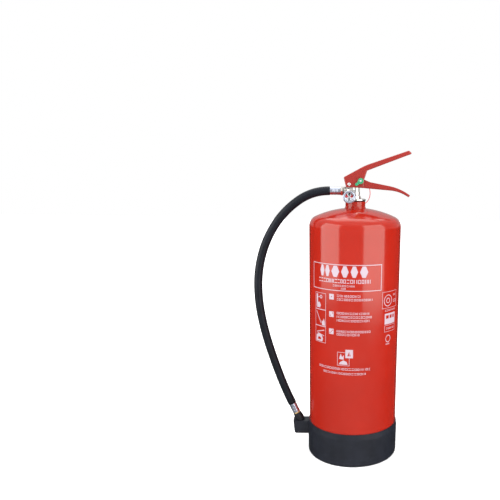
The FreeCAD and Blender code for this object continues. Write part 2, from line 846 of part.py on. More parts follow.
def make_valve_body():
    skirt_top = f"{FLANGE_TOP} + dim.skirt_height"
    gauge_foot = ("dim.gauge_x", "dim.gauge_web_half", "dim.gauge_z")
    solids = [
        cylinder("valve_shank", "dim.collar_bore", "dim.shank_depth",
                 ("0", "0", f"{GASKET_TOP} - dim.shank_depth")),
        cylinder("valve_flange", "dim.flange_radius", "dim.flange_height - dim.flange_bevel",
                 ("0", "0", GASKET_TOP)),
        cone("valve_flange_bevel", "dim.flange_radius", "dim.flange_radius - 2 * dim.flange_bevel",
             "dim.flange_bevel", ("0", "0", f"{FLANGE_TOP} - dim.flange_bevel")),
        cone("valve_skirt", "dim.skirt_radius", "dim.skirt_top_radius", "dim.skirt_height",
             ("0", "0", FLANGE_TOP)),
        cone("valve_skirt_shoulder", "dim.skirt_top_radius", "dim.column_radius", "dim.skirt_shoulder",
             ("0", "0", skirt_top)),
        cylinder("valve_column", "dim.column_radius", f"dim.column_top - ({FLANGE_TOP})",
                 ("0", "0", FLANGE_TOP)),
        cylinder("gauge_boss", "dim.gauge_boss_radius", "dim.gauge_boss_reach + dim.gauge_web_half",
                 gauge_foot, **ALONG_MINUS_Y),
        box("gauge_web", ("-dim.gauge_x", "2 * dim.gauge_web_half", "2 * dim.gauge_boss_radius - 0.4"),
            ("dim.gauge_x", "-dim.gauge_web_half", "dim.gauge_z - dim.gauge_boss_radius + 0.2")),
        cylinder("outlet_arm", "dim.outlet_radius", "dim.outlet_reach - dim.outlet_bevel", OUTLET,
                 **ALONG_MINUS_X),
        cone("outlet_arm_bevel", "dim.outlet_radius", "dim.outlet_radius - dim.outlet_bevel",
             "dim.outlet_bevel", ("dim.outlet_bevel - dim.outlet_reach", "0", "dim.outlet_height"),
             **ALONG_MINUS_X),
        cone("outlet_root", "dim.outlet_root_radius", "dim.outlet_radius", "dim.outlet_root_length",
             ("-dim.outlet_reach / 2", "0", "dim.outlet_height"), **ALONG_MINUS_X),
        box("lever_block",
            ("dim.head_rear + dim.head_front", "2 * dim.head_half", "dim.head_top - dim.head_bottom"),
            ("-dim.head_rear", "-dim.head_half", "dim.head_bottom")),
    ]
    bores = [
        cylinder("chamber", "dim.chamber_radius", f"dim.seat_height - {GASKET_TOP} + dim.shank_depth",
                 ("0", "0", f"{GASKET_TOP} - dim.shank_depth")),
        cylinder("seat_opening", "dim.seat_bore", "dim.gland_floor - dim.seat_height",
                 ("0", "0", "dim.seat_height")),
        cylinder("gland", "dim.stem_radius + dim.running_gap", "dim.head_top - dim.gland_floor",
                 ("0", "0", "dim.gland_floor")),
        cylinder("ring_groove", "dim.ring_groove_radius", "dim.ring_groove_height",
                 ("0", "0", "dim.ring_groove_floor")),
        cylinder("outlet_duct", "dim.outlet_bore", "dim.outlet_reach", OUTLET, **ALONG_MINUS_X),
        cylinder("outlet_thread", "dim.union_thread", "dim.union_thread_length + 0.5",
                 ("-dim.outlet_reach + dim.union_thread_length", "0", "dim.outlet_height"),
                 **ALONG_MINUS_X),
        cylinder("gauge_thread", "dim.gauge_thread", "dim.gauge_thread_length",
                 ("dim.gauge_x", "dim.gauge_thread_length - dim.gauge_boss_reach", "dim.gauge_z"),
                 **ALONG_MINUS_Y),
        cylinder("gauge_drill", "dim.gauge_duct", "dim.gauge_boss_reach",
                 ("dim.gauge_x", "2 * dim.gauge_duct", "dim.gauge_duct_height"), **ALONG_MINUS_Y),
        cylinder("gauge_cross_drill", "0.8 * dim.gauge_duct", "-dim.gauge_x",
                 ("0", "0", "dim.gauge_duct_height"), **ALONG_MINUS_X),
        cylinder("rivet_hole", "dim.rivet_radius", "2 * dim.head_half + 2",
                 ("dim.pivot_x", "dim.head_half + 1", "dim.pivot_z"), **ALONG_MINUS_Y),
        cylinder("roll_pin_hole", "dim.roll_pin_radius", "2 * dim.head_half + 2",
                 ("dim.roll_pin_x", "dim.head_half + 1", "dim.roll_pin_z"), **ALONG_MINUS_Y),
    ]
    keep(cut("valve_machined", fuse("valve_forging", solids), fuse("valve_bores", bores)), "valve_body")


def make_valve_spindle():
    corners = [
        ("0", "dim.spindle_bottom"),
        ("dim.spindle_tip_radius", "dim.spindle_bottom"),
        ("dim.spindle_tip_radius", "dim.disc_bottom"),
        ("dim.disc_radius", "dim.disc_bottom"),
        ("dim.disc_radius", "dim.disc_top"),
        ("dim.stem_radius", "dim.disc_top"),
        ("dim.stem_radius", "dim.spindle_top - dim.spindle_crown"),
        ("dim.stem_radius - dim.spindle_crown", "dim.spindle_top"),
        ("0", "dim.spindle_top"),
    ]
    turned("valve_spindle", corners, {6: "dim.spindle_crown"})


def make_spindle_seal():
    corners = [
        ("dim.stem_radius", "dim.disc_top"),
        ("dim.disc_radius", "dim.disc_top"),
        ("dim.disc_radius", "dim.seal_top"),
        ("dim.stem_radius", "dim.seal_top"),
    ]
    turned("spindle_seal", corners)


def make_spindle_oring():
    ring = doc.addObject("Part::Torus", "oring_torus")
    ring.setExpression("Radius1", "dim.stem_radius + dim.running_gap + dim.ring_section")
    ring.setExpression("Radius2", "dim.ring_section")
    place(ring, ("0", "0", "dim.ring_groove_floor + dim.ring_groove_height / 2"))
    keep(ring, "spindle_oring")


def make_spindle_spring():
    low = "dim.adaptor_top + dim.spring_wire + 0.1"
    height = "dim.disc_bottom - dim.adaptor_top - 2 * dim.spring_wire - 0.2"
    coil = doc.addObject("Part::Helix", "spring_coil")
    coil.setExpression("Radius", "dim.spring_radius")
    coil.setExpression("Height", height)
    coil.setExpression("Pitch", f"({height}) / dim.spring_turns")
    wire = doc.addObject("Part::Circle", "spring_section")
    wire.setExpression("Radius", "dim.spring_wire")
    place(wire, ("dim.spring_radius", "0", "0"), (1, 0, 0), "90")
    sweep = doc.addObject("Part::Sweep", "spring_sweep")
    sweep.Sections = [wire]
    doc.recompute()
    sweep.Spine = (coil, [f"Edge{index + 1}" for index in range(len(coil.Shape.Edges))])
    sweep.Solid = True
    sweep.Frenet = True
    place(sweep, ("0", "0", low))
    keep(sweep, "spindle_spring")


def make_dip_tube_parts():
    shank_end = f"{GASKET_TOP} - dim.shank_depth"
    corners = [
        ("dim.seat_bore", "dim.adaptor_bottom"),
        ("dim.dip_tube_bore", "dim.adaptor_bottom"),
        ("dim.dip_tube_bore", "dim.dip_tube_top"),
        ("dim.adaptor_collar", "dim.dip_tube_top"),
        ("dim.adaptor_collar", shank_end),
        ("dim.chamber_radius", shank_end),
        ("dim.chamber_radius", "dim.adaptor_top"),
        ("dim.seat_bore", "dim.adaptor_top"),
    ]
    turned("dip_tube_adaptor", corners)
    corners = [
        ("dim.dip_tube_bore", "dim.dip_tube_bottom"),
        ("dim.dip_tube_radius", "dim.dip_tube_bottom"),
        ("dim.dip_tube_radius", "dim.dip_tube_top"),
        ("dim.dip_tube_bore", "dim.dip_tube_top"),
    ]
    turned("dip_tube", corners)
    body = new_body("dip_tube_strainer")
    foot = "dim.strainer_bottom + dim.strainer_floor"
    corners = [
        ("0", "dim.strainer_bottom"),
        ("dim.strainer_radius", "dim.strainer_bottom"),
        ("dim.strainer_radius", "dim.strainer_top"),
        ("dim.dip_tube_radius", "dim.strainer_top"),
        ("dim.dip_tube_radius", "dim.dip_tube_bottom"),
        ("dim.dip_tube_bore", "dim.dip_tube_bottom"),
        ("dim.dip_tube_bore", foot),
        ("0", foot),
    ]
    revolve(body, "strainer_cup", corners)
    half = "dim.strainer_slot / 2"
    slot = [
        (f"-{half}", foot),
        (half, foot),
        (half, f"{foot} + dim.strainer_slot_height"),
        (f"-{half}", f"{foot} + dim.strainer_slot_height"),
    ]
    profile = outline(body, "strainer_slot_profile", slot)
    window = pocket(body, "strainer_window", profile, "4 * dim.strainer_radius")
    ring = body.newObject("PartDesign::PolarPattern", "strainer_windows")
    ring.Originals = [window]
    upright = next(feature for feature in body.Origin.OriginFeatures if feature.Role == "Z_Axis")
    ring.Axis = (upright, [""])
    ring.Angle = 180
    ring.Occurrences = 3
    body.Tip = ring
    doc.recompute()


# ---------------------------------------------------------------- pressure gauge

GAUGE_AXIS = ("dim.gauge_x", "0", "dim.gauge_z")


def make_gauge():
    """The gauge's turned pieces stand on its own axis: heights are distances towards -Y."""
    boss = "dim.gauge_boss_reach"
    corners = [
        ("dim.gauge_thread", boss),
        ("dim.gauge_washer_radius", boss),
        ("dim.gauge_washer_radius", f"{boss} + dim.gauge_washer"),
        ("dim.gauge_thread", f"{boss} + dim.gauge_washer"),
    ]
    turned("gauge_washer", corners, base=GAUGE_AXIS, **ALONG_MINUS_Y)

    wall = "dim.gauge_case_wall"
    inner = f"dim.gauge_case_radius - {wall}"
    corners = [
        ("dim.gauge_bore", f"{boss} - dim.gauge_thread_length + 1"),
        ("dim.gauge_thread", f"{boss} - dim.gauge_thread_length + 1"),
        ("dim.gauge_thread", f"{boss} + dim.gauge_washer"),
        ("dim.gauge_neck_radius", f"{boss} + dim.gauge_washer"),
        ("dim.gauge_neck_radius", "dim.gauge_case_back"),
        ("dim.gauge_case_radius - dim.gauge_case_bevel", "dim.gauge_case_back"),
        ("dim.gauge_case_radius", "dim.gauge_case_back + dim.gauge_case_bevel"),
        ("dim.gauge_case_radius", "dim.lens_back"),
        (inner, "dim.lens_back"),
        (inner, "dim.dial_back"),
        ("dim.movement_radius", "dim.dial_back"),
        ("dim.movement_radius", f"dim.gauge_case_back + {wall}"),
        ("dim.gauge_bore", f"dim.gauge_case_back + {wall}"),
    ]
    turned("gauge_case", corners, base=GAUGE_AXIS, **ALONG_MINUS_Y)

    lens_front = "dim.lens_back + dim.lens_height"
    corners = [
        ("dim.gauge_case_radius", "dim.bezel_back"),
        ("dim.gauge_radius - 0.5", "dim.bezel_back"),
        ("dim.gauge_radius", "dim.bezel_back + 0.5"),
        ("dim.gauge_radius", "dim.bezel_front - dim.bezel_round"),
        ("dim.gauge_radius - dim.bezel_round", "dim.bezel_front"),
        ("dim.window_radius + dim.bezel_lip", "dim.bezel_front"),
        ("dim.window_radius", "dim.bezel_front - dim.bezel_lip"),
        ("dim.window_radius", lens_front),
        ("dim.gauge_case_radius", lens_front),
    ]
    rounds = {3: "dim.bezel_round", 5: "dim.bezel_lip"}
    turned("gauge_bezel", corners, rounds, base=GAUGE_AXIS, **ALONG_MINUS_Y)

    corners = [
        ("0", "dim.lens_back"),
        ("dim.gauge_case_radius", "dim.lens_back"),
        ("dim.gauge_case_radius", lens_front),
        ("0", lens_front),
    ]
    turned("gauge_lens", corners, base=GAUGE_AXIS, **ALONG_MINUS_Y)

    dial = new_body("gauge_dial")
    face = [
        ("0", "dim.dial_back"),
        ("dim.dial_radius", "dim.dial_back"),
        ("dim.dial_radius", "dim.dial_back + dim.dial_height"),
        ("0", "dim.dial_back + dim.dial_height"),
    ]
    revolve(dial, "dial_disc", face)
    hole = round_sketch(dial, "dial_hole_circle", ("0", "-dim.needle_drop"),
                        "dim.needle_pivot + dim.running_gap", plane="XY_Plane")
    drill = dial.newObject("PartDesign::Pocket", "dial_hole")
    drill.Profile = hole
    drill.Type = "ThroughAll"
    drill.Reversed = True
    doc.recompute()
    place(dial, base=GAUGE_AXIS, **ALONG_MINUS_Y)


def make_gauge_needle():
    """The needle's own origin is its pivot, below the middle of the dial."""
    body = new_body("gauge_needle")
    hub_top = "dim.needle_back + dim.needle_height + 0.7"
    corners = [
        ("0", "dim.dial_back - 1"),
        ("dim.needle_pivot", "dim.dial_back - 1"),
        ("dim.needle_pivot", "dim.needle_back - 0.4"),
        ("dim.needle_hub", "dim.needle_back - 0.4"),
        ("dim.needle_hub", hub_top),
        ("0", hub_top),
    ]
    revolve(body, "needle_hub_turn", corners)
    blade = [
        ("-dim.needle_width / 2", "-dim.needle_tail"),
        ("dim.needle_width / 2", "-dim.needle_tail"),
        ("dim.needle_width / 2", "0"),
        ("0.2", "dim.needle_reach"),
        ("-0.2", "dim.needle_reach"),
        ("-dim.needle_width / 2", "0"),
    ]
    sketch = outline(body, "needle_blade", blade, plane="XY_Plane", lift="dim.needle_back")
    one_sided_pad(body, "needle_blade_pad", sketch, "dim.needle_height")
    place(body, base=("dim.gauge_x", "0", "dim.gauge_z - dim.needle_drop"), **ALONG_MINUS_Y)


# ---------------------------------------------------------------- levers

PIVOT = ("dim.pivot_x", "dim.pivot_z")
ROLL_PIN = ("dim.roll_pin_x", "dim.roll_pin_z")
PIN = ("dim.pin_x", "dim.pin_z")


def lever_point(distance, drop, slope, direction):
    """A point off the lever's bend: along a slope by a distance, and below it by a drop."""
    across = f"dim.lever_bend_x + {direction} * ({distance}) * cos({slope}) + ({drop}) * sin({slope})"
    up = f"dim.lever_bend_z + {direction} * ({distance}) * sin({slope}) - ({drop}) * cos({slope})"
    return (across, up)


def make_operating_lever():
    body = new_body("operating_lever")
    arm = "dim.lever_arm_slope"
    rear = "dim.lever_rear_slope"
    mean = f"(({arm} + {rear}) / 2)"
    half_turn = f"(({rear} - {arm}) / 2)"
    tangent = f"dim.lever_bend_radius * tan({half_turn})"
    crest = lever_point("dim.lever_rear_length", "0", rear, "-1")
    bend_in = lever_point(tangent, "0", rear, "-1")
    bend_out = lever_point(tangent, "0", arm, "1")
    tip_top = lever_point("dim.lever_arm_length", "0", arm, "1")
    full_length = "dim.lever_arm_length + dim.lever_tip_overhang"
    tip_end = lever_point(full_length, "dim.lever_tip_depth", arm, "1")
    under_throat = "(dim.lever_throat_x - dim.lever_bend_x)"
    throat = ("dim.lever_throat_x", lever_point(under_throat, "dim.lever_arm_depth", arm, "1")[1])
    heel = ("dim.lever_heel_x", "dim.lever_heel_z")
    heel_foot = ("dim.lever_heel_x", "dim.lever_skirt_z")
    toe_foot = ("dim.lever_toe_x", "dim.lever_skirt_z")
    corners = [crest, toe_foot, heel_foot, heel, throat, tip_end, tip_top, bend_out, bend_in]
    sketch = outline(body, "lever_side", corners, {7: "dim.lever_bend_radius"})
    blank = pad(body, "lever_blank", sketch, "2 * dim.lever_half")
    eased = edges_across(blank.Shape, [crest, toe_foot, heel_foot, throat, tip_top])
    rounded = fillet(body, "lever_corners", blank, eased, "dim.lever_corner_round")
    nose_edges = edges_across(rounded.Shape, [tip_end])
    nose = fillet(body, "lever_nose", rounded, nose_edges, "dim.lever_nose_round")
    top = side_edges(nose.Shape, sketch, [7], "dim.lever_half")
    fillet(body, "lever_crown", nose, top, "dim.press_round")

    wall = "dim.sheet_wall"
    inner_bend = (
        f"dim.lever_bend_x + {wall} / cos({half_turn}) * sin({mean})",
        f"dim.lever_bend_z - {wall} / cos({half_turn}) * cos({mean})",
    )
    hollow_end = lever_point("dim.lever_arm_length - dim.lever_tip_wall", wall, arm, "1")
    hollow = [
        lever_point("dim.lever_rear_length + dim.lever_corner_round * 4", wall, rear, "-1"),
        ("dim.lever_toe_x - dim.lever_half * 2", "dim.lever_skirt_z - dim.lever_half * 2"),
        ("dim.handle_tip_x", "dim.lever_skirt_z - dim.lever_half * 2"),
        (hollow_end[0], "dim.lever_heel_z"),
        hollow_end,
        inner_bend,
    ]
    pocket(body, "lever_hollow", outline(body, "lever_hollow_side", hollow), "2 * dim.lever_inner_half")
    bridge = [
        ("-dim.bridge_half", "dim.bridge_bottom"),
        ("dim.bridge_half", "dim.bridge_bottom"),
        ("dim.bridge_half", "dim.bridge_bottom + dim.bridge_height"),
        ("-dim.bridge_half", "dim.bridge_bottom + dim.bridge_height"),
    ]
    side = outline(body, "lever_bridge_side", bridge)
    pad(body, "lever_bridge", side, "dim.lever_half + dim.lever_inner_half")
    eye = round_sketch(body, "lever_eye_circle", PIVOT, "dim.rivet_radius + dim.running_gap")
    pocket(body, "lever_eye", eye, "3 * dim.lever_half")
    hole = round_sketch(body, "lever_pin_circle", PIN, "dim.pin_radius + dim.running_gap")
    pocket(body, "lever_pin_hole", hole, "3 * dim.lever_half")


def make_carry_handle():
    body = new_body("carry_handle")
    corners = [
        ("dim.handle_rear_x", "dim.handle_rear_bottom"),
        ("dim.handle_web_x - dim.sheet_wall", "dim.handle_web_z"),
        ("dim.handle_bend_x", "dim.handle_bend_bottom"),
        ("dim.handle_tip_x - dim.handle_tip_slant", "dim.handle_tip_bottom"),
        ("dim.handle_tip_x", "dim.handle_tip_top"),
        ("dim.handle_bend_x", "dim.handle_bend_top"),
        ("dim.handle_shoulder_x", "dim.handle_shoulder_z"),
        ("dim.handle_ear_end", "dim.handle_ear_top"),
        ("dim.handle_ear_x", "dim.handle_ear_top"),
        ("dim.handle_step_x", "dim.handle_rear_top"),
        ("dim.handle_rear_x", "dim.handle_rear_top"),
    ]
    bends = {2: "-dim.handle_under_radius", 4: "dim.handle_top_radius"}
    sketch = outline(body, "handle_side", corners, bends)
    blank = pad(body, "handle_blank", sketch, "2 * dim.handle_half")
    under = side_edges(blank.Shape, sketch, [1, 2], "dim.handle_half")
    fillet(body, "handle_keel", blank, under, "dim.press_round")

    wall = "dim.sheet_wall"
    floor = "dim.handle_rear_bottom - 2 * dim.handle_half"
    roof = "dim.handle_ear_top + 2 * dim.handle_half"
    rear = "dim.handle_rear_x - dim.handle_half"
    hollow = [
        (rear, floor),
        ("dim.handle_web_x", floor),
        ("dim.handle_web_x", f"dim.handle_web_z + {wall}"),
        ("dim.handle_bend_x", f"dim.handle_bend_bottom + {wall}"),
        ("dim.handle_hollow_x", "dim.handle_hollow_z"),
        ("dim.handle_hollow_x", roof),
        (rear, roof),
    ]
    bends = {3: f"-(dim.handle_under_radius + {wall})"}
    inside = outline(body, "handle_hollow_side", hollow, bends)
    pocket(body, "handle_hollow", inside, "2 * dim.head_half")
    rivet = round_sketch(body, "handle_rivet_circle", PIVOT, "dim.rivet_radius")
    pocket(body, "handle_rivet_hole", rivet, "3 * dim.handle_half")
    roll = round_sketch(body, "handle_roll_circle", ROLL_PIN, "dim.roll_pin_radius")
    pocket(body, "handle_roll_hole", roll, "3 * dim.handle_half")
    pocket(body, "handle_pin_slot", slot_about_pivot(body), "3 * dim.handle_half")


def slot_about_pivot(body):
    """The curved slot that the safety pin sweeps, as an outline with round ends."""
    radius = "sqrt((dim.pin_x - dim.pivot_x)^2 + (dim.pin_z - dim.pivot_z)^2)"
    start = "atan((dim.pin_z - dim.pivot_z) / (dim.pin_x - dim.pivot_x))"
    finish = f"({start} - dim.lever_travel * 1 deg)"

    def spot(reach, angle):
        return (f"dim.pivot_x + ({reach}) * cos({angle})", f"dim.pivot_z + ({reach}) * sin({angle})")

    half = "dim.pin_slot_half"
    corners = [
        spot(f"{radius} - {half}", finish),
        spot(radius, f"({finish} - atan({half} / ({radius})))"),
        spot(f"{radius} + {half}", finish),
        spot(f"{radius} + {half}", start),
        spot(radius, f"({start} + atan({half} / ({radius})))"),
        spot(f"{radius} - {half}", start),
    ]
    bends = {end: half for end in (0, 1, 3, 4)}
    bends[2] = f"({radius} + {half})"
    bends[5] = f"-({radius} - {half})"
    return outline(body, "handle_pin_slot_side", corners, bends)


def make_pivot_rivet():
    """A tubular rivet through the block, the handle and the lever, with a rolled head at each end."""
    grip = "dim.lever_half + dim.head_clearance"
    top = f"{grip} + dim.rivet_head_height"
    rolled = "dim.rivet_head_round"
    deep = "dim.rivet_hollow_depth"
    corners = [
        ("0", f"{deep} - ({top})"),
        ("dim.rivet_hollow", f"{deep} - ({top})"),
        ("dim.rivet_hollow", f"-({top})"),
        (f"dim.rivet_head_radius - {rolled}", f"-({top})"),
        ("dim.rivet_head_radius", f"{rolled} - ({top})"),
        ("dim.rivet_head_radius", f"-({grip})"),
        ("dim.rivet_radius", f"-({grip})"),
        ("dim.rivet_radius", grip),
        ("dim.rivet_head_radius", grip),
        ("dim.rivet_head_radius", f"{top} - {rolled}"),
        (f"dim.rivet_head_radius - {rolled}", top),
        ("dim.rivet_hollow", top),
        ("dim.rivet_hollow", f"{top} - {deep}"),
        ("0", f"{top} - {deep}"),
    ]
    base = ("dim.pivot_x", "0", "dim.pivot_z")
    turned("pivot_rivet", corners, {3: rolled, 9: rolled}, base=base, **ALONG_MINUS_Y)


def make_handle_roll_pin():
    pin = cylinder("roll_pin", "dim.roll_pin_radius", "2 * dim.handle_half",
                   ("dim.roll_pin_x", "dim.handle_half", "dim.roll_pin_z"), **ALONG_MINUS_Y)
    keep(pin, "handle_roll_pin")


# ---------------------------------------------------------------- safety pin, tab and tamper seal

def make_safety_pin():
    tail = ("dim.pin_x", "dim.pin_tail - dim.pin_point", "dim.pin_z")
    shaft = cylinder("pin_shaft", "dim.pin_radius", "dim.pin_front + dim.pin_tail - dim.pin_point", tail,
                     **ALONG_MINUS_Y)
    point = cone("pin_point", "dim.pin_radius", "dim.pin_radius - 0.7 * dim.pin_point", "dim.pin_point",
                 tail, **ALONG_Y)
    head = cone("pin_head", "dim.pin_head_radius", "0.65 * dim.pin_head_radius", "dim.pin_head_height",
                ("dim.pin_x", "-dim.pin_front", "dim.pin_z"), **ALONG_MINUS_Y)
    eye = cylinder("pin_eye", "dim.pin_eye_radius", "4 * dim.pin_radius",
                   ("dim.pin_x - 2 * dim.pin_radius", "dim.pin_eye_y", "dim.pin_z"), **ALONG_X)
    keep(cut("pin_drilled", fuse("pin_blank", [shaft, point, head]), eye), "safety_pin")


def make_pin_tab():
    """A disc with one arm, moulded round the pin's front end; its own origin is the pin's axis."""
    back = "dim.lever_half + dim.tab_gap"
    eased = "dim.tab_round"
    body = new_body("pin_tab")
    disc = [
        ("dim.pin_radius + dim.running_gap", back),
        (f"dim.tab_radius - {eased}", back),
        ("dim.tab_radius", f"{back} + {eased}"),
        ("dim.tab_radius", f"{back} + dim.tab_height - {eased}"),
        (f"dim.tab_radius - {eased}", f"{back} + dim.tab_height"),
        ("dim.pin_radius + dim.running_gap", f"{back} + dim.tab_height"),
    ]
    revolve(body, "tab_disc", disc, {3: eased, 1: eased})
    arm = [
        ("dim.pin_radius + 1", "dim.tab_arm_half"),
        ("dim.pin_radius + 1", "-dim.tab_arm_half"),
        ("dim.tab_arm_length", "-dim.tab_arm_half"),
        ("dim.tab_arm_length + dim.tab_arm_half * cos(45)", "-dim.tab_arm_half * cos(45)"),
        ("dim.tab_arm_length + dim.tab_arm_half * cos(45)", "dim.tab_arm_half * cos(45)"),
        ("dim.tab_arm_length", "dim.tab_arm_half"),
    ]
    bends = {2: "dim.tab_arm_half", 3: "dim.tab_arm_half", 4: "dim.tab_arm_half"}
    sketch = outline(body, "tab_arm", arm, bends, plane="XY_Plane", lift=f"{back} + {eased} / 2")
    one_sided_pad(body, "tab_arm_pad", sketch, f"dim.tab_height - {eased}")
    inward = FreeCAD.Rotation(Vector(1, 0, 0), 90)
    spin = FreeCAD.Rotation(Vector(0, 0, 1), value("dim.tab_arm_angle"))
    body.Placement = FreeCAD.Placement(Vector(), inward.multiply(spin))
    body.setExpression("Placement.Base.x", "dim.pin_x")
    body.setExpression("Placement.Base.z", "dim.pin_z")


def seal_depth(height):
    """How far behind the object's middle plane the leaning seal lies, at a height."""
    return value("dim.pin_eye_y") + (value("dim.pin_z") - height) * math.tan(math.radians(SEAL_LEAN))


def make_tamper_seal():
    points = [Vector(x, seal_depth(z), z) for x, z in SEAL_ROUTE]
    seal = doc.addObject("Part::Feature", "seal_strap")
    seal.Shape = swept_tube(points, value("dim.seal_radius"), 0, "tamper seal")
    keep(seal, "tamper_seal")
    low = points[-1]
    high = points[0]
    lock = doc.addObject("Part::Feature", "seal_lock_block")
    length = (high - low).Length
    width = value("dim.lock_width")
    depth = value("dim.lock_depth")
    block = Part.makeBox(depth, width, length, Vector(-depth / 2, -width / 2, 0))
    block = block.makeFillet(value("dim.lock_round"), block.Edges)
    lock.Shape = block
    lock.Placement = FreeCAD.Placement(low, FreeCAD.Rotation(Vector(0, 0, 1), high - low))
    keep(lock, "seal_lock")


# ---------------------------------------------------------------- the whole object

def make_everything():
    make_cylinder_shell()
    make_base_dome()
    make_neck_collar()
    make_base_boot()
    make_neck_gasket()
    make_valve_body()
    make_valve_spindle()
    make_spindle_seal()
    make_spindle_oring()
    make_spindle_spring()
    make_dip_tube_parts()
    make_gauge()
    make_gauge_needle()
    make_carry_handle()
    make_operating_lever()
    make_pivot_rivet()
    make_handle_roll_pin()
    make_safety_pin()
    make_pin_tab()
    make_tamper_seal()
    make_outlet_washer()
    make_hose_union()
    make_ferrule("ferrule_top", FERRULE_FACE, base=OUTLET, **ALONG_MINUS_X)
    make_hose()
    make_ferrule("ferrule_bottom", "0", base=HOSE_END, **ALONG_NOZZLE)
    make_nozzle_union()
    make_nozzle()
    doc.recompute()


def check_everything():
    """Every object has to be sound before anything is written."""
    for obj in doc.Objects:
        if "Invalid" in obj.State or "Error" in obj.State:
            raise RuntimeError(f"{obj.Name} failed: {obj.State}")
    for name, obj in nodes.items():
        shape = obj.Shape
        if shape.isNull() or not shape.isValid() or len(shape.Solids) != 1:
            raise RuntimeError(f"{name} is not one valid solid")


def write_everything():
    os.makedirs("parts", exist_ok=True)
    for name, obj in nodes.items():
        obj.Shape.exportStep(f"parts/{name}.step")
        box_of = obj.Shape.BoundBox
        print(f"{name:20s} {obj.Shape.Volume:10.1f} mm3  x {box_of.XMin:.1f}..{box_of.XMax:.1f}  "
              f"y {box_of.YMin:.1f}..{box_of.YMax:.1f}  z {box_of.ZMin:.1f}..{box_of.ZMax:.1f}")
    print(len(nodes), "sub-parts")


make_everything()
check_everything()
write_everything()
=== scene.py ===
"""Looks of a nine-litre stored-pressure water extinguisher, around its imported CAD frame.

Everything is in metres in the row frame: the floor is z = 0, the cylinder's axis is x = y = 0,
the hose hangs on the -X side and the gauge faces -Y.
"""

import json
import math
import random

import bmesh
import bpy
from mathutils import Matrix, Vector
from mathutils.geometry import tessellate_polygon


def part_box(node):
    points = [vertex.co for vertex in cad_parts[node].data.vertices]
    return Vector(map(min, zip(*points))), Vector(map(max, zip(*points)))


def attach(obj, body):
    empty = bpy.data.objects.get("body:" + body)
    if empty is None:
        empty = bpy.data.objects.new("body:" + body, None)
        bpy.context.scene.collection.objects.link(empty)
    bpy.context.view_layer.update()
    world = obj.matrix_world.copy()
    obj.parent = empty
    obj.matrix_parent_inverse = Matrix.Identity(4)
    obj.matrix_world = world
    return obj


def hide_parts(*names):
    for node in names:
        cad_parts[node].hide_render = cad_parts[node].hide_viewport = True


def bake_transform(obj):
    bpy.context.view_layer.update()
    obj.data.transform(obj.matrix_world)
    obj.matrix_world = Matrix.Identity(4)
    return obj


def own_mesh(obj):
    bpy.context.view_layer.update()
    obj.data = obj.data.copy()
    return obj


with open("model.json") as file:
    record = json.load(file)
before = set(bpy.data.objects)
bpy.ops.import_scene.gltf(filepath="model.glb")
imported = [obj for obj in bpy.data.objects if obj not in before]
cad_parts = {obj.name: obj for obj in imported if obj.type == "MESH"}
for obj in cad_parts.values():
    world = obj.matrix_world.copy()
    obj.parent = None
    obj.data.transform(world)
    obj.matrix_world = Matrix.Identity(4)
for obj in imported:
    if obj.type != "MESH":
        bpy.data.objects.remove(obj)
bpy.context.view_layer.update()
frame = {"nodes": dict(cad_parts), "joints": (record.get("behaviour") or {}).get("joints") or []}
nodes = frame["nodes"]

MM = 0.001


# ---------------------------------------------------------------- camera

EYE = (0.0, -1.134, 0.561)
EYE_PITCH = math.radians(12.6)
EYE_ROLL = math.radians(0.80)
LENS_MM = 41.23
SENSOR_MM = 36.0
FRAME_SHIFT = (-0.2079, 0.1142)


def make_camera():
    """The photograph's eye: as high as the levers, tilted down, the object right of the middle."""
    data = bpy.data.cameras.new("camera")
    data.sensor_width = SENSOR_MM
    data.lens = LENS_MM
    data.shift_x, data.shift_y = FRAME_SHIFT
    data.clip_start = 0.02
    data.clip_end = 60.0
    camera = bpy.data.objects.new("camera", data)
    bpy.context.scene.collection.objects.link(camera)
    turn = Matrix.Rotation(math.pi / 2 - EYE_PITCH, 4, "X") @ Matrix.Rotation(EYE_ROLL, 4, "Z")
    camera.matrix_world = Matrix.Translation(EYE) @ turn
    bpy.context.scene.camera = camera


# ---------------------------------------------------------------- cords

HOSE_DIAMETER = 0.0168
HOSE_RIM = 0.0006
HOSE_SIDES = 40
HOSE_STEPS = 24

SEAL_DIAMETER = 0.0014
SEAL_RIM = 0.0001
SEAL_SIDES = 14
SEAL_STEPS = 10
SEAL_LEAN = math.radians(16.0)
PIN_EYE_Y, PIN_EYE_Z = 0.0133, 0.5576

RIM_ANGLES = (math.radians(90), math.radians(60), math.radians(30))

# (x, z) of the hose's route, in the plane y = 0, from the upper ferrule to the lower one.
HOSE_ROUTE = [
    (-0.0500, 0.5382), (-0.0840, 0.5382), (-0.1390, 0.4990), (-0.1750, 0.4445), (-0.1930, 0.3815),
    (-0.1934, 0.3165), (-0.1815, 0.2525), (-0.1630, 0.1905), (-0.1408, 0.1287), (-0.1269, 0.0988),
]

# (x, z) of the tamper seal's route, up from its lock, through the pin's eye and back below the levers
# to the lock. It leans towards +Y as it goes down.
SEAL_ROUTE = [
    (-0.0106, 0.5367), (-0.0103, 0.5435), (-0.0055, 0.5515), (0.0030, 0.5576), (0.0162, 0.5576),
    (0.0232, 0.5515), (0.0286, 0.5410), (0.0290, 0.5283), (0.0242, 0.5172), (0.0148, 0.5116),
    (0.0036, 0.5099), (-0.0062, 0.5140), (-0.0109, 0.5238), (-0.0106, 0.5312),
]


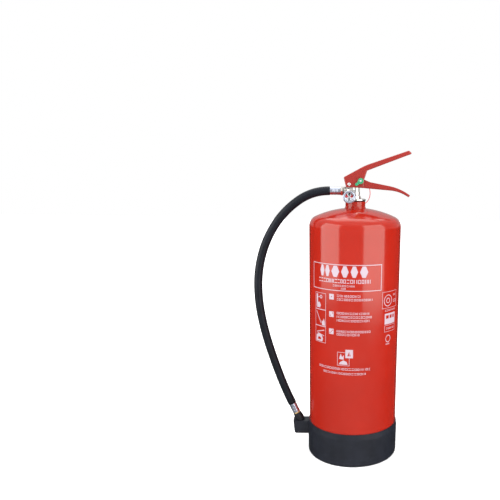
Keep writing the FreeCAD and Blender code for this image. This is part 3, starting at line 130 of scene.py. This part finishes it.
def spline_points(route, steps):
    """Points along the order-3 NURBS spline that the route's points control."""
    curve = bpy.data.curves.new("route", "CURVE")
    curve.dimensions = "3D"
    spline = curve.splines.new("NURBS")
    spline.points.add(len(route) - 1)
    for point, place in zip(spline.points, route):
        point.co = (*place, 1.0)
    spline.order_u = 3
    spline.use_endpoint_u = True
    spline.resolution_u = steps
    holder = bpy.data.objects.new("route", curve)
    bpy.context.scene.collection.objects.link(holder)
    bpy.context.view_layer.update()
    line = bpy.data.meshes.new_from_object(holder)
    points = [vertex.co.copy() for vertex in line.vertices]
    bpy.data.objects.remove(holder)
    bpy.data.curves.remove(curve)
    bpy.data.meshes.remove(line)
    return points


def new_piece(name, build, smooth=True):
    """A mesh object in the scene from a bmesh."""
    mesh = bpy.data.meshes.new(name)
    bmesh.ops.recalc_face_normals(build, faces=build.faces)
    build.to_mesh(mesh)
    build.free()
    for polygon in mesh.polygons:
        polygon.use_smooth = smooth
    piece = bpy.data.objects.new(name, mesh)
    bpy.context.scene.collection.objects.link(piece)
    return piece


def tangents_of(path):
    """The path's unit direction at each of its points."""
    ahead = path[1:] + path[-1:]
    behind = path[:1] + path[:-1]
    return [(after - before).normalized() for after, before in zip(ahead, behind)]


def tube(name, path, radius, sides, rounding):
    """A closed round tube along a path, with rounded rims at both ends."""
    tangents = tangents_of(path)
    side = tangents[0].cross(Vector((0.0, 1.0, 0.0))).normalized()
    last = len(path) - 1
    stations = []
    for index, (place, tangent) in enumerate(zip(path, tangents)):
        side = (side - tangent * side.dot(tangent)).normalized()
        if 0 < index < last:
            stations.append((place, tangent, side, radius))
            continue
        inward = tangent if index == 0 else -tangent
        rim = [
            (place + inward * rounding * (1 - math.sin(angle)), tangent, side,
             radius - rounding * (1 - math.cos(angle)))
            for angle in RIM_ANGLES
        ]
        stations += rim if index == 0 else reversed(rim)
    build = bmesh.new()
    rings = []
    for place, tangent, across, size in stations:
        up = tangent.cross(across)
        ring = []
        for step in range(sides):
            angle = 2 * math.pi * step / sides
            reach = across * math.cos(angle) + up * math.sin(angle)
            ring.append(build.verts.new(place + reach * size))
        rings.append(ring)
    for first, second in zip(rings, rings[1:]):
        for step in range(sides):
            following = (step + 1) % sides
            build.faces.new((first[step], first[following], second[following], second[step]))
    build.faces.new(rings[0])
    build.faces.new(rings[-1])
    return new_piece(name, build)


def make_hose():
    """The rubber hose hangs from the outlet, bows out and ends in the sleeve above the nozzle."""
    path = spline_points([(x, 0.0, z) for x, z in HOSE_ROUTE], HOSE_STEPS)
    piece = tube("discharge_hose", path, HOSE_DIAMETER / 2, HOSE_SIDES, HOSE_RIM)
    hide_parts("hose")
    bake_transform(piece)
    return piece


def make_seal():
    """The thin plastic tail loops through the pin's eye and back into its lock."""
    route = [(x, PIN_EYE_Y + (PIN_EYE_Z - z) * math.tan(SEAL_LEAN), z) for x, z in SEAL_ROUTE]
    path = spline_points(route, SEAL_STEPS)
    piece = tube("seal_tail", path, SEAL_DIAMETER / 2, SEAL_SIDES, SEAL_RIM)
    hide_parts("tamper_seal")
    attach(piece, "lever")
    return piece


# ---------------------------------------------------------------- return spring

SPRING_WIRE = 0.001
SPRING_RIM = 0.0001
SPRING_SIDES = 10
SPRING_TURNS = 6
SPRING_STEPS = 24


def make_spring():
    """The coil inside the valve. The real one shortens as the lever pushes the spindle down; this one
    is a fixed helix on the extinguisher body.
    """
    low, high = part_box("spindle_spring")
    radius = (high.x - low.x - SPRING_WIRE) / 2
    foot = low.z + SPRING_WIRE / 2
    rise = high.z - low.z - SPRING_WIRE
    count = SPRING_STEPS * SPRING_TURNS
    path = []
    for step in range(count + 1):
        angle = 2 * math.pi * SPRING_TURNS * step / count
        height = foot + rise * step / count
        path.append(Vector((radius * math.cos(angle), radius * math.sin(angle), height)))
    piece = tube("return_spring", path, SPRING_WIRE / 2, SPRING_SIDES, SPRING_RIM)
    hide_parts("spindle_spring")
    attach(piece, "extinguisher")
    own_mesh(piece)
    return piece


# ---------------------------------------------------------------- node materials

def spread(tree, value, low, high, start, end):
    """A value's range low..high mapped to start..end, in any node tree."""
    node = tree.nodes.new("ShaderNodeMapRange")
    limits = {"From Min": low, "From Max": high, "To Min": start, "To Max": end}
    for key, number in limits.items():
        node.inputs[key].default_value = number
    tree.links.new(value, node.inputs["Value"])
    return node.outputs["Result"]


class Finish:
    """A node material with its Principled shader and short ways to wire textures into it."""

    def __init__(self, name, **values):
        self.material = bpy.data.materials.new(name)
        self.material.use_nodes = True
        self.tree = self.material.node_tree
        self.shader = self.tree.nodes["Principled BSDF"]
        self.place = self.tree.nodes.new("ShaderNodeTexCoord").outputs["Object"]
        for key, value in values.items():
            self.shader.inputs[key.replace("_", " ")].default_value = value

    def stretched(self, scale):
        """Object coordinates multiplied axis by axis."""
        node = self.tree.nodes.new("ShaderNodeMapping")
        node.inputs["Scale"].default_value = scale
        self.tree.links.new(self.place, node.inputs["Vector"])
        return node.outputs["Vector"]

    def noise(self, scale, detail=3.0, roughness=0.5, stretch=None):
        """Noise with this many features a metre."""
        node = self.tree.nodes.new("ShaderNodeTexNoise")
        node.inputs["Scale"].default_value = scale
        node.inputs["Detail"].default_value = detail
        node.inputs["Roughness"].default_value = roughness
        source = self.place if stretch is None else self.stretched(stretch)
        self.tree.links.new(source, node.inputs["Vector"])
        return node.outputs["Fac"]

    def specks(self, scale):
        """Distance to the nearest of scattered points."""
        node = self.tree.nodes.new("ShaderNodeTexVoronoi")
        node.inputs["Scale"].default_value = scale
        self.tree.links.new(self.place, node.inputs["Vector"])
        return node.outputs["Distance"]

    def spread(self, value, low, high, start, end):
        """A value's range low..high mapped to start..end."""
        return spread(self.tree, value, low, high, start, end)

    def height(self):
        """Height above the floor, in metres."""
        node = self.tree.nodes.new("ShaderNodeSeparateXYZ")
        self.tree.links.new(self.place, node.inputs["Vector"])
        return node.outputs["Z"]

    def product(self, first, second):
        """Two values multiplied."""
        node = self.tree.nodes.new("ShaderNodeMath")
        node.operation = "MULTIPLY"
        self.tree.links.new(first, node.inputs[0])
        self.tree.links.new(second, node.inputs[1])
        return node.outputs["Value"]

    def colours(self, value, first, second):
        """A colour ramp over a value, between two (position, colour) stops."""
        node = self.tree.nodes.new("ShaderNodeValToRGB")
        for element, (position, colour) in zip(node.color_ramp.elements, (first, second)):
            element.position = position
            element.color = (*colour, 1.0)
        self.tree.links.new(value, node.inputs["Fac"])
        return node.outputs["Color"]

    def blended(self, share, varied, plain):
        """A varied colour mixed with a plain one by a share."""
        node = self.tree.nodes.new("ShaderNodeMix")
        node.data_type = "RGBA"
        self.tree.links.new(share, node.inputs[0])
        self.tree.links.new(varied, node.inputs[6])
        node.inputs[7].default_value = (*plain, 1.0)
        return node.outputs[2]

    def colour(self, value):
        """Sends a colour to the shader."""
        self.tree.links.new(value, self.shader.inputs["Base Color"])

    def rough(self, value):
        """Sends a roughness to the shader."""
        self.tree.links.new(value, self.shader.inputs["Roughness"])

    def polish(self, scale, detail, low, high):
        """A roughness that drifts between two values with noise."""
        self.rough(self.spread(self.noise(scale, detail), 0.3, 0.7, low, high))

    def bump(self, *layers):
        """Surface relief from (height value, strength, distance) layers."""
        normal = None
        for value, strength, distance in layers:
            node = self.tree.nodes.new("ShaderNodeBump")
            node.inputs["Strength"].default_value = strength
            node.inputs["Distance"].default_value = distance
            self.tree.links.new(value, node.inputs["Height"])
            if normal is not None:
                self.tree.links.new(normal, node.inputs["Normal"])
            normal = node.outputs["Normal"]
        self.tree.links.new(normal, self.shader.inputs["Normal"])


def shade(colour, factor):
    """A colour made lighter or darker."""
    return tuple(min(1.0, channel * factor) for channel in colour)


def enamel(name, colour, peel):
    """Glossy powder coat: a faint orange peel, slow drifts of tone and a few settled specks."""
    finish = Finish(name, Specular_IOR_Level=0.5)
    finish.shader.inputs["Specular Tint"].default_value = (0.80, 0.97, 0.88, 1.0)
    drift = finish.noise(9.0, 2.0)
    tone = finish.colours(drift, (0.3, shade(colour, 0.92)), (0.7, shade(colour, 1.06)))
    speck = finish.spread(finish.specks(130.0), 0.0, 0.035, 1.0, 0.0)
    finish.colour(finish.blended(speck, tone, shade(colour, 0.82)))
    finish.polish(55.0, 4.0, 0.10, 0.17)
    finish.bump(
        (finish.noise(peel, 2.0), 0.014, 0.0004), (finish.noise(2600.0, 2.0), 0.010, 0.00008))
    return finish.material


def moulded(name, colour, gloss, grain, wear_height):
    """Moulded plastic or rubber with a fine grain and lighter scuffs below a height."""
    finish = Finish(name, Specular_IOR_Level=0.25)
    mottle = finish.colours(
        finish.noise(38.0, 4.0), (0.3, shade(colour, 0.82)), (0.7, shade(colour, 1.25)))
    scuff_noise = finish.spread(finish.noise(240.0, 5.0, 0.7), 0.56, 0.68, 0.0, 1.0)
    low = finish.spread(finish.height(), wear_height, wear_height * 0.15, 0.0, 0.55)
    share = finish.product(scuff_noise, low)
    finish.colour(finish.blended(share, mottle, shade(colour, 3.2)))
    finish.polish(90.0, 4.0, gloss - 0.06, gloss + 0.08)
    finish.bump((finish.noise(grain, 3.0), 0.22, 0.00025), (finish.noise(60.0, 2.0), 0.05, 0.0012))
    return finish.material


def plated(name, bright, warm, gloss, relief):
    """Plated metal: slow warm drifts, a cloudy polish and fine scratches."""
    finish = Finish(name, Metallic=1.0)
    finish.colour(finish.colours(finish.noise(70.0, 3.0), (0.35, warm), (0.62, bright)))
    cloud = finish.noise(150.0, 5.0, 0.6)
    finish.rough(finish.spread(cloud, 0.3, 0.75, gloss * 0.7, gloss * 1.6))
    scratches = finish.noise(900.0, 2.0, 0.5, stretch=(1.0, 0.12, 0.25))
    finish.bump((finish.noise(260.0, 3.0), relief, 0.0006), (scratches, 0.06, 0.00012))
    return finish.material


def turned_metal(name, bright, dark, gloss):
    """Machined metal with fine tool rings."""
    finish = Finish(name, Metallic=1.0)
    finish.colour(finish.colours(finish.noise(120.0, 3.0), (0.3, dark), (0.65, bright)))
    finish.polish(300.0, 4.0, gloss * 0.75, gloss * 1.4)
    rings = finish.noise(2400.0, 1.0, 0.4, stretch=(0.2, 0.2, 1.0))
    finish.bump((rings, 0.16, 0.0002))
    return finish.material


def hose_rubber():
    """Extruded rubber: satin, with a cloth-like print of the curing wrap."""
    finish = Finish("hose_rubber", Specular_IOR_Level=0.20)
    base = (0.0040, 0.0052, 0.0085)
    tone = finish.colours(
        finish.noise(45.0, 4.0), (0.3, shade(base, 0.8)), (0.7, shade(base, 1.35)))
    bloom = finish.spread(finish.noise(420.0, 5.0, 0.7), 0.6, 0.75, 0.0, 0.22)
    finish.colour(finish.blended(bloom, tone, (0.06, 0.065, 0.075)))
    finish.polish(80.0, 3.0, 0.38, 0.50)
    finish.bump(
        (finish.noise(1500.0, 2.0), 0.12, 0.0002), (finish.noise(110.0, 2.0), 0.05, 0.0008))
    return finish.material


def glossy_plastic(name, colour, gloss, glow):
    """Injection-moulded colour plastic that lets a little light in."""
    finish = Finish(name, Specular_IOR_Level=0.5, Subsurface_Weight=glow, Subsurface_Scale=0.002)
    finish.shader.inputs["Subsurface Radius"].default_value = (1.0, 0.6, 0.4)
    finish.colour(finish.colours(
        finish.noise(160.0, 3.0), (0.3, shade(colour, 0.86)), (0.7, shade(colour, 1.12))))
    finish.polish(220.0, 4.0, gloss - 0.05, gloss + 0.07)
    finish.bump((finish.noise(900.0, 3.0), 0.06, 0.0002), (finish.noise(180.0, 2.0), 0.08, 0.0004))
    return finish.material


def lens_plastic():
    """The gauge's clear window."""
    finish = Finish("clear_glass", Transmission_Weight=1.0, IOR=1.49, Alpha=0.28)
    finish.colour(finish.colours(
        finish.noise(60.0), (0.3, (0.93, 0.96, 0.97)), (0.7, (0.98, 1.0, 1.0))))
    finish.polish(300.0, 4.0, 0.01, 0.05)
    return finish.material


def print_ink(name, colour):
    """Screen-printed ink: flat, slightly uneven in cover."""
    finish = Finish(name, Specular_IOR_Level=0.4)
    finish.colour(finish.colours(
        finish.noise(700.0, 4.0, 0.6), (0.3, shade(colour, 0.9)), (0.6, colour)))
    finish.polish(400.0, 3.0, 0.28, 0.42)
    finish.bump((finish.noise(1800.0, 2.0), 0.05, 0.0001))
    return finish.material


def make_materials():
    """One finish for every slot of the record, and three inks that only the looks have."""
    red = (0.286, 0.0102, 0.0041)
    lever = (0.216, 0.0170, 0.0140)
    boot = (0.0100, 0.0115, 0.0172)
    return {
        "red_paint": enamel("red_paint", red, 380.0),
        "lever_red": enamel("lever_red", lever, 620.0),
        "boot_plastic": moulded("boot_plastic", boot, 0.42, 1400.0, 0.030),
        "nozzle_plastic": moulded("nozzle_plastic", (0.012, 0.0125, 0.015), 0.36, 1700.0, 0.020),
        "black_rubber": moulded("black_rubber", (0.012, 0.012, 0.013), 0.55, 2200.0, 0.010),
        "hose_rubber": hose_rubber(),
        "nickel": plated("nickel", (0.90, 0.89, 0.87), (0.82, 0.78, 0.71), 0.16, 0.06),
        "chrome": plated("chrome", (0.58, 0.62, 0.73), (0.50, 0.54, 0.64), 0.26, 0.01),
        "steel": turned_metal("steel", (0.90, 0.90, 0.90), (0.70, 0.70, 0.71), 0.34),
        "brass": turned_metal("brass", (0.80, 0.58, 0.28), (0.62, 0.42, 0.17), 0.20),
        "white_plastic": glossy_plastic("white_plastic", (0.80, 0.80, 0.77), 0.38, 0.2),
        "green_plastic": glossy_plastic("green_plastic", (0.024, 0.225, 0.105), 0.34, 0.12),
        "seal_plastic": glossy_plastic("seal_plastic", (0.72, 0.075, 0.095), 0.30, 0.25),
        "needle_black": glossy_plastic("needle_black", (0.018, 0.018, 0.018), 0.35, 0.0),
        "dial_face": print_ink("dial_face", (0.80, 0.84, 0.88)),
        "clear_glass": lens_plastic(),
        "label_white": print_ink("label_white", (0.39, 0.315, 0.36)),
        "zone_green": print_ink("zone_green", (0.035, 0.11, 0.075)),
        "zone_red": print_ink("zone_red", (0.55, 0.03, 0.04)),
    }


def dress_nodes(materials):
    """Gives every CAD node its finish, slot by slot."""
    for node in nodes.values():
        for place in node.material_slots:
            place.material = materials[place.material.name.split(".")[0]]


# ---------------------------------------------------------------- printed label

# The label is drawn in millimetres: u runs along the girth from the label's middle, to the right as
# seen from in front, and v is the height above the floor.
SHELL_RADIUS = 90.0
LABEL_AZIMUTH = math.radians(-11.0)
INK_TOP = 0.06
INK_ROOT = -0.16
STRIP_WIDTH = 2.6


def rectangle(left, right, bottom, top):
    """A rectangle's corners."""
    return [(left, bottom), (right, bottom), (right, top), (left, top)]


def circle(u, v, radius, steps=28):
    """Points round a circle."""
    angles = [2 * math.pi * step / steps for step in range(steps)]
    return [(u + radius * math.cos(angle), v + radius * math.sin(angle)) for angle in angles]


class Print:
    """Flat shapes that are collected first and laid round the shell at the end."""

    def __init__(self):
        self.build = bmesh.new()

    def shape(self, outline, *holes):
        """A filled outline, less its holes."""
        loops = [outline, *holes]
        points = [self.build.verts.new((u, v, 0.0)) for loop in loops for u, v in loop]
        triangles = tessellate_polygon([[Vector((u, v, 0.0)) for u, v in loop] for loop in loops])
        for triangle in triangles:
            self.build.faces.new([points[index] for index in triangle])

    def bar(self, left, right, bottom, top):
        """A filled rectangle."""
        self.shape(rectangle(left, right, bottom, top))

    def frame(self, left, right, bottom, top, line):
        """A rectangle's outline."""
        inner = rectangle(left + line, right - line, bottom + line, top - line)
        self.shape(rectangle(left, right, bottom, top), inner)

    def ring(self, u, v, radius, hole, steps=28):
        """A round band."""
        self.shape(circle(u, v, radius, steps), circle(u, v, hole, steps))

    def stroke(self, start, end, width):
        """A straight line with square ends."""
        start, end = Vector(start), Vector(end)
        along = (end - start).normalized()
        across = Vector((-along.y, along.x)) * width / 2
        corners = (start - across, end - across, end + across, start + across)
        self.shape([tuple(corner) for corner in corners])

    def row(self, left, right, bottom, height, shortest, longest, gap, line, seed):
        """A line of small hollow blocks, bars and posts that stands for a line of print."""
        chance = random.Random(seed)
        top = bottom + height
        heavy = 1.2 * line
        place = left
        while place < right - shortest / 2:
            end = min(place + chance.uniform(shortest, longest), right)
            kind = chance.random()
            if kind < 0.5:
                self.frame(place, end, bottom, top, line)
            elif kind < 0.75:
                self.bar(place, end, bottom, bottom + heavy)
                self.bar(place, end, top - heavy, top)
            else:
                self.bar(place, place + heavy, bottom, top)
                self.bar(end - heavy, end, bottom, top)
            place = end + gap * chance.uniform(0.8, 1.2)

    def wrap(self, name):
        """The shapes laid round the shell as one thin raised layer of ink, cut into narrow strips."""
        build = self.build
        bmesh.ops.recalc_face_normals(build, faces=build.faces)
        reach = max(abs(vertex.co.x) for vertex in build.verts)
        count = int(reach / STRIP_WIDTH) + 1
        for index in range(-count, count + 1):
            bmesh.ops.bisect_plane(
                build, geom=build.verts[:] + build.edges[:] + build.faces[:], dist=1e-5,
                plane_co=(index * STRIP_WIDTH, 0.0, 0.0), plane_no=(1.0, 0.0, 0.0))
        top = bmesh.ops.extrude_face_region(build, geom=build.faces[:])
        raised = {item for item in top["geom"] if isinstance(item, bmesh.types.BMVert)}
        for vertex in build.verts:
            radius = SHELL_RADIUS + (INK_TOP if vertex in raised else INK_ROOT)
            azimuth = LABEL_AZIMUTH + vertex.co.x / SHELL_RADIUS
            place = (radius * math.sin(azimuth), -radius * math.cos(azimuth), vertex.co.y)
            vertex.co = Vector(place) * MM
        return new_piece(name, build, smooth=False)


def heading(label):
    """The outlined panel at the top: six solid lozenges, a lighter row and two small lines."""
    label.frame(-77.0, 71.8, 356.9, 406.7, 1.3)
    left, bottom, top = -54.0, 383.0, 404.0
    middle = (bottom + top) / 2
    widths = (10.4, 10.4, 16.3, 14.3, 13.8, 15.8)
    for number, width in enumerate(widths):
        right = left + width
        cut = 0.3 * width
        label.shape([(left, middle), (left + cut, bottom), (right - cut, bottom),
                     (right, middle), (right - cut, top), (left + cut, top)])
        left = right + (2.0 if number == 0 else 3.6)
    label.row(-58.0, 48.3, 371.8, 7.3, 3.8, 6.2, 1.5, 1.15, 11)
    label.row(-24.0, 18.0, 365.0, 3.4, 2.4, 4.4, 1.3, 0.65, 12)
    label.row(-8.0, 3.0, 360.2, 2.8, 2.0, 3.0, 1.0, 0.6, 13)


def instruction_steps(label):
    """Three steps: an outlined picture, a square with one, two or three dots, and lines of print."""
    picture_height = 32.6
    for bottom in (316.6, 284.0, 251.4):
        label.frame(-69.5, -40.0, bottom, bottom + picture_height, 0.7)
    label.bar(-66.0, -61.5, 322.0, 346.0)
    label.ring(-52.5, 341.5, 3.4, 2.0)
    label.stroke((-61.5, 340.0), (-55.6, 341.2), 1.4)
    label.shape([(-66.0, 320.0), (-55.0, 320.0), (-53.0, 325.0), (-56.5, 331.0), (-61.0, 330.0)])
    label.stroke((-66.0, 312.5), (-52.0, 290.0), 1.5)
    label.shape([(-49.5, 286.0), (-42.0, 286.0), (-42.6, 294.0),
                 (-45.0, 300.0), (-47.2, 293.5), (-50.4, 295.5)])
    label.shape([(-67.0, 253.5), (-49.0, 253.5), (-47.0, 259.5),
                 (-50.0, 266.0), (-58.0, 268.5), (-66.0, 265.0)],
                [(-62.0, 256.5), (-53.0, 256.5), (-52.0, 260.0), (-56.0, 262.5), (-61.0, 261.0)])
    label.stroke((-64.0, 271.5), (-43.5, 277.0), 1.5)
    label.stroke((-64.0, 269.8), (-44.0, 265.5), 1.2)

    square_left, square_right, square_height = -32.0, -22.1, 10.6
    middle = (square_left + square_right) / 2
    for bottom, dots in ((339.5, (0,)), (305.8, (-1, 1)), (272.2, (-1, 0, 1))):
        holes = [
            circle(middle + dot * 2.7, bottom + square_height / 2 + dot * 2.5, 1.2, 12)
            for dot in dots
        ]
        square = rectangle(square_left, square_right, bottom, bottom + square_height)
        label.shape(square, *holes)

    lines = ((29.0, 345.6), (54.8, 338.8), (47.7, 312.4), (54.0, 305.4), (47.5, 298.4),
             (51.7, 277.1), (28.4, 271.1))
    for number, (right, bottom) in enumerate(lines):
        label.row(-15.6, right, bottom, 4.1, 2.4, 4.4, 1.25, 0.75, 20 + number)


def flame_picture(label):
    """The outlined picture of flames with its square tag, and two lines of print below it."""
    label.frame(-14.0, 10.0, 211.6, 238.4, 0.7)
    label.shape(rectangle(2.0, 16.6, 227.5, 244.0), [(5.8, 231.2), (12.6, 231.2), (9.2, 240.6)])
    label.shape([(-11.0, 214.0), (6.6, 214.0), (4.6, 219.5), (-1.5, 222.5), (-7.6, 219.0)])
    label.shape([(-10.6, 225.0), (-7.0, 235.5), (-4.2, 228.5), (-1.0, 233.5), (-1.2, 224.0)])
    label.row(-56.5, 50.6, 202.6, 4.2, 2.8, 5.2, 1.3, 0.75, 31)
    label.row(-45.0, 42.0, 193.6, 3.9, 2.6, 4.8, 1.3, 0.7, 32)


def side_marks(label):
    """Plain rings, frames and bars that run on round the cylinder's right side."""
    label.frame(74.8, 119.5, 320.5, 352.8, 0.6)
    label.ring(90.3, 335.4, 11.4, 10.1, 40)
    label.ring(90.3, 335.4, 5.2, 3.9)
    label.row(107.0, 117.0, 343.0, 3.2, 2.6, 4.2, 1.2, 0.6, 41)
    label.row(107.0, 117.0, 330.0, 5.6, 2.4, 4.2, 1.2, 0.7, 42)
    label.row(82.0, 114.0, 314.4, 3.2, 3.0, 5.0, 1.3, 0.6, 43)
    windows = ((85.4, 93.4), (96.0, 103.0), (105.6, 111.6))
    label.shape(
        rectangle(81.9, 114.8, 288.7, 309.9),
        *(rectangle(left, right, 299.6, 306.4) for left, right in windows))
    label.frame(81.9, 114.8, 273.6, 286.6, 0.6)
    label.row(86.0, 111.0, 278.4, 3.4, 3.0, 5.6, 1.3, 0.6, 44)
    label.ring(92.8, 259.4, 7.4, 6.1, 32)
    label.row(86.6, 99.0, 247.6, 2.6, 2.4, 4.0, 1.1, 0.6, 45)


def make_label(materials):
    """The white print on the shell: no lettering, only blocks, bars, rings and pictures."""
    label = Print()
    heading(label)
    instruction_steps(label)
    flame_picture(label)
    side_marks(label)
    piece = label.wrap("label_print")
    piece.data.materials.append(materials["label_white"])
    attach(piece, "extinguisher")


# ---------------------------------------------------------------- gauge dial

ZONE_STEPS = 24
ZONE_MARGIN = 0.0013
ZONE_RISE = 0.00006
ZONE_SINK = 0.00010


def dial_zone(name, low, high, material, inner):
    """A printed sector round the needle's pivot, between two angles from upright, out to the rim."""
    dial_low, dial_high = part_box("gauge_dial")
    centre_x = (dial_low.x + dial_high.x) / 2
    centre_z = (dial_low.z + dial_high.z) / 2
    rim = (dial_high.x - dial_low.x) / 2 - ZONE_MARGIN
    face = dial_low.y
    needle_joint = next(joint for joint in frame["joints"] if joint["name"] == "needle_swing")
    pivot_x, _, pivot_z = needle_joint["pos_m"]
    offset = Vector((pivot_x - centre_x, pivot_z - centre_z))
    near, far = [], []
    for index in range(ZONE_STEPS + 1):
        angle = math.radians(low + (high - low) * index / ZONE_STEPS)
        way = Vector((math.sin(angle), math.cos(angle)))
        along = way.dot(offset)
        reach = -along + math.sqrt(along * along - offset.length_squared + rim * rim)
        near.append((pivot_x + way.x * inner, pivot_z + way.y * inner))
        far.append((pivot_x + way.x * reach, pivot_z + way.y * reach))
    outline = near + far[::-1]
    build = bmesh.new()
    front = [build.verts.new((x, face - ZONE_RISE, z)) for x, z in outline]
    back = [build.verts.new((x, face + ZONE_SINK, z)) for x, z in outline]
    total = len(outline)
    for index in range(ZONE_STEPS):
        ends = (index, index + 1, total - 2 - index, total - 1 - index)
        build.faces.new([front[k] for k in ends])
        build.faces.new([back[k] for k in reversed(ends)])
    for index in range(total):
        following = (index + 1) % total
        build.faces.new((front[index], front[following], back[following], back[index]))
    piece = new_piece(name, build, smooth=False)
    piece.data.materials.append(material)
    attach(piece, "extinguisher")


def make_dial(materials):
    """Green where the charge is right, red either side of it."""
    dial_zone("dial_green", -13.0, 13.0, materials["zone_green"], 0.0060)
    dial_zone("dial_red_low", -64.0, -25.0, materials["zone_red"], 0.0044)
    dial_zone("dial_red_high", 25.0, 64.0, materials["zone_red"], 0.0044)


# ---------------------------------------------------------------- studio

WHITE = (1.0, 1.0, 1.0, 1.0)
BLACK = (0.0, 0.0, 0.0, 1.0)

FRONT_GLOW = 0.50
BACK_GLOW = 0.045
SKY_GLOW = 0.48
HIGH_GLOW = 0.80

BOX_DISTANCE = 1.35
BOX_TOP = 1.64
BOX_RADIANCE = 3.35


def soft_box(name, place, target, width, height, radiance, fade=0.0):
    """A soft box that faces a point and dims to its lower edge over this share of its height."""
    data = bpy.data.lights.new(name, "AREA")
    data.shape = "RECTANGLE"
    data.size = width
    data.size_y = height
    data.energy = radiance * math.pi * width * height
    light = bpy.data.objects.new(name, data)
    bpy.context.scene.collection.objects.link(light)
    light.location = place
    light.rotation_mode = "QUATERNION"
    light.rotation_quaternion = (Vector(target) - Vector(place)).to_track_quat("-Z", "Y")
    if fade:
        data.use_nodes = True
        tree = data.node_tree
        spot = tree.nodes.new("ShaderNodeNewGeometry")
        split = tree.nodes.new("ShaderNodeSeparateXYZ")
        ramp = tree.nodes.new("ShaderNodeMapRange")
        ramp.inputs["From Max"].default_value = fade
        tree.links.new(spot.outputs["Parametric"], split.inputs["Vector"])
        tree.links.new(split.outputs["Y"], ramp.inputs["Value"])
        tree.links.new(ramp.outputs["Result"], tree.nodes["Emission"].inputs["Strength"])
    return light


def make_floor():
    """A wide pale studio floor with painted light: it glows by itself, dimly near the object and
    brighter with distance, so it fades to white far off.
    """
    build = bmesh.new()
    bmesh.ops.create_grid(build, x_segments=24, y_segments=24, size=7.0)
    floor = new_piece("studio_floor", build)
    finish = Finish("studio_floor", Specular_IOR_Level=0.2, Emission_Color=WHITE)
    finish.colour(finish.colours(
        finish.noise(2.0, 3.0), (0.3, (0.83, 0.83, 0.83)), (0.7, (0.86, 0.86, 0.86))))
    finish.polish(30.0, 3.0, 0.55, 0.7)
    reach = finish.tree.nodes.new("ShaderNodeVectorMath")
    reach.operation = "LENGTH"
    finish.tree.links.new(finish.place, reach.inputs[0])
    # Painted glow: the floor's own light rises from 0.33 near the middle to 0.95 beyond 1.8 m, and it
    # also lights the object.
    glow = finish.spread(reach.outputs["Value"], 0.2, 1.8, 0.33, 0.95)
    finish.tree.links.new(glow, finish.shader.inputs["Emission Strength"])
    floor.data.materials.append(finish.material)
    floor.visible_glossy = False


def make_backdrop():
    """A white dome that only shows behind the object: it neither lights it nor mirrors in it."""
    build = bmesh.new()
    bmesh.ops.create_uvsphere(build, u_segments=48, v_segments=24, radius=9.0)
    backdrop = new_piece("studio_backdrop", build)
    finish = Finish(
        "studio_backdrop", Base_Color=BLACK, Specular_IOR_Level=0.0,
        Emission_Color=WHITE, Emission_Strength=1.0)
    backdrop.data.materials.append(finish.material)
    backdrop.visible_diffuse = False
    backdrop.visible_glossy = False
    backdrop.visible_shadow = False


def make_world():
    """A dim room: some light from in front, almost none from the sides, and a glow up and behind."""
    world = bpy.data.worlds.new("studio")
    world.use_nodes = True
    bpy.context.scene.world = world
    tree = world.node_tree
    background = tree.nodes["Background"]
    place = tree.nodes.new("ShaderNodeTexCoord")
    split = tree.nodes.new("ShaderNodeSeparateXYZ")
    tree.links.new(place.outputs["Generated"], split.inputs["Vector"])
    lit = spread(tree, split.outputs["Y"], -0.9, 0.1, FRONT_GLOW, BACK_GLOW)
    above = spread(tree, split.outputs["Z"], -0.04, 0.05, 0.0, 1.0)
    behind = spread(tree, split.outputs["Y"], -0.35, 0.05, 0.0, SKY_GLOW)
    high = spread(tree, split.outputs["Z"], 0.25, 0.8, 0.0, HIGH_GLOW)
    # The sky behind counts only above the horizon, and the glow overhead is squared to start softly.
    for first, second in ((above, behind), (high, high)):
        node = tree.nodes.new("ShaderNodeMath")
        node.operation = "MULTIPLY_ADD"
        tree.links.new(first, node.inputs[0])
        tree.links.new(second, node.inputs[1])
        tree.links.new(lit, node.inputs[2])
        lit = node.outputs["Value"]
    tree.links.new(lit, background.inputs["Strength"])
    background.inputs["Color"].default_value = WHITE


def make_lights():
    """Two tall soft boxes by the camera, one overhead, and a fill that mirrors in nothing."""
    sides = (("left_box", -64.0, 1.30, 0.03, 0.09), ("right_box", 48.6, 1.42, -0.06, 0.10))
    for name, azimuth, width, foot, fade in sides:
        angle = math.radians(azimuth)
        height = BOX_TOP - foot
        middle = foot + height / 2
        place = (BOX_DISTANCE * math.sin(angle), -BOX_DISTANCE * math.cos(angle), middle)
        soft_box(name, place, (0.0, 0.0, middle), width, height, BOX_RADIANCE, fade)
    soft_box("top_box", (0.0, 0.45, 1.75), (0.0, 0.0, 0.4), 1.5, 1.1, 1.8)
    fill = soft_box("fill_box", (0.0, -0.45, 1.9), (0.0, 0.0, 0.5), 1.4, 1.4, 3.2)
    fill.visible_glossy = False


# ---------------------------------------------------------------- the whole

bpy.context.scene.view_settings.view_transform = "Standard"
make_camera()
hose = make_hose()
seal = make_seal()
spring = make_spring()
materials = make_materials()
dress_nodes(materials)
hose.data.materials.append(materials["hose_rubber"])
seal.data.materials.append(materials["seal_plastic"])
spring.data.materials.append(materials["steel"])
make_label(materials)
make_dial(materials)
make_floor()
make_backdrop()
make_world()
make_lights()
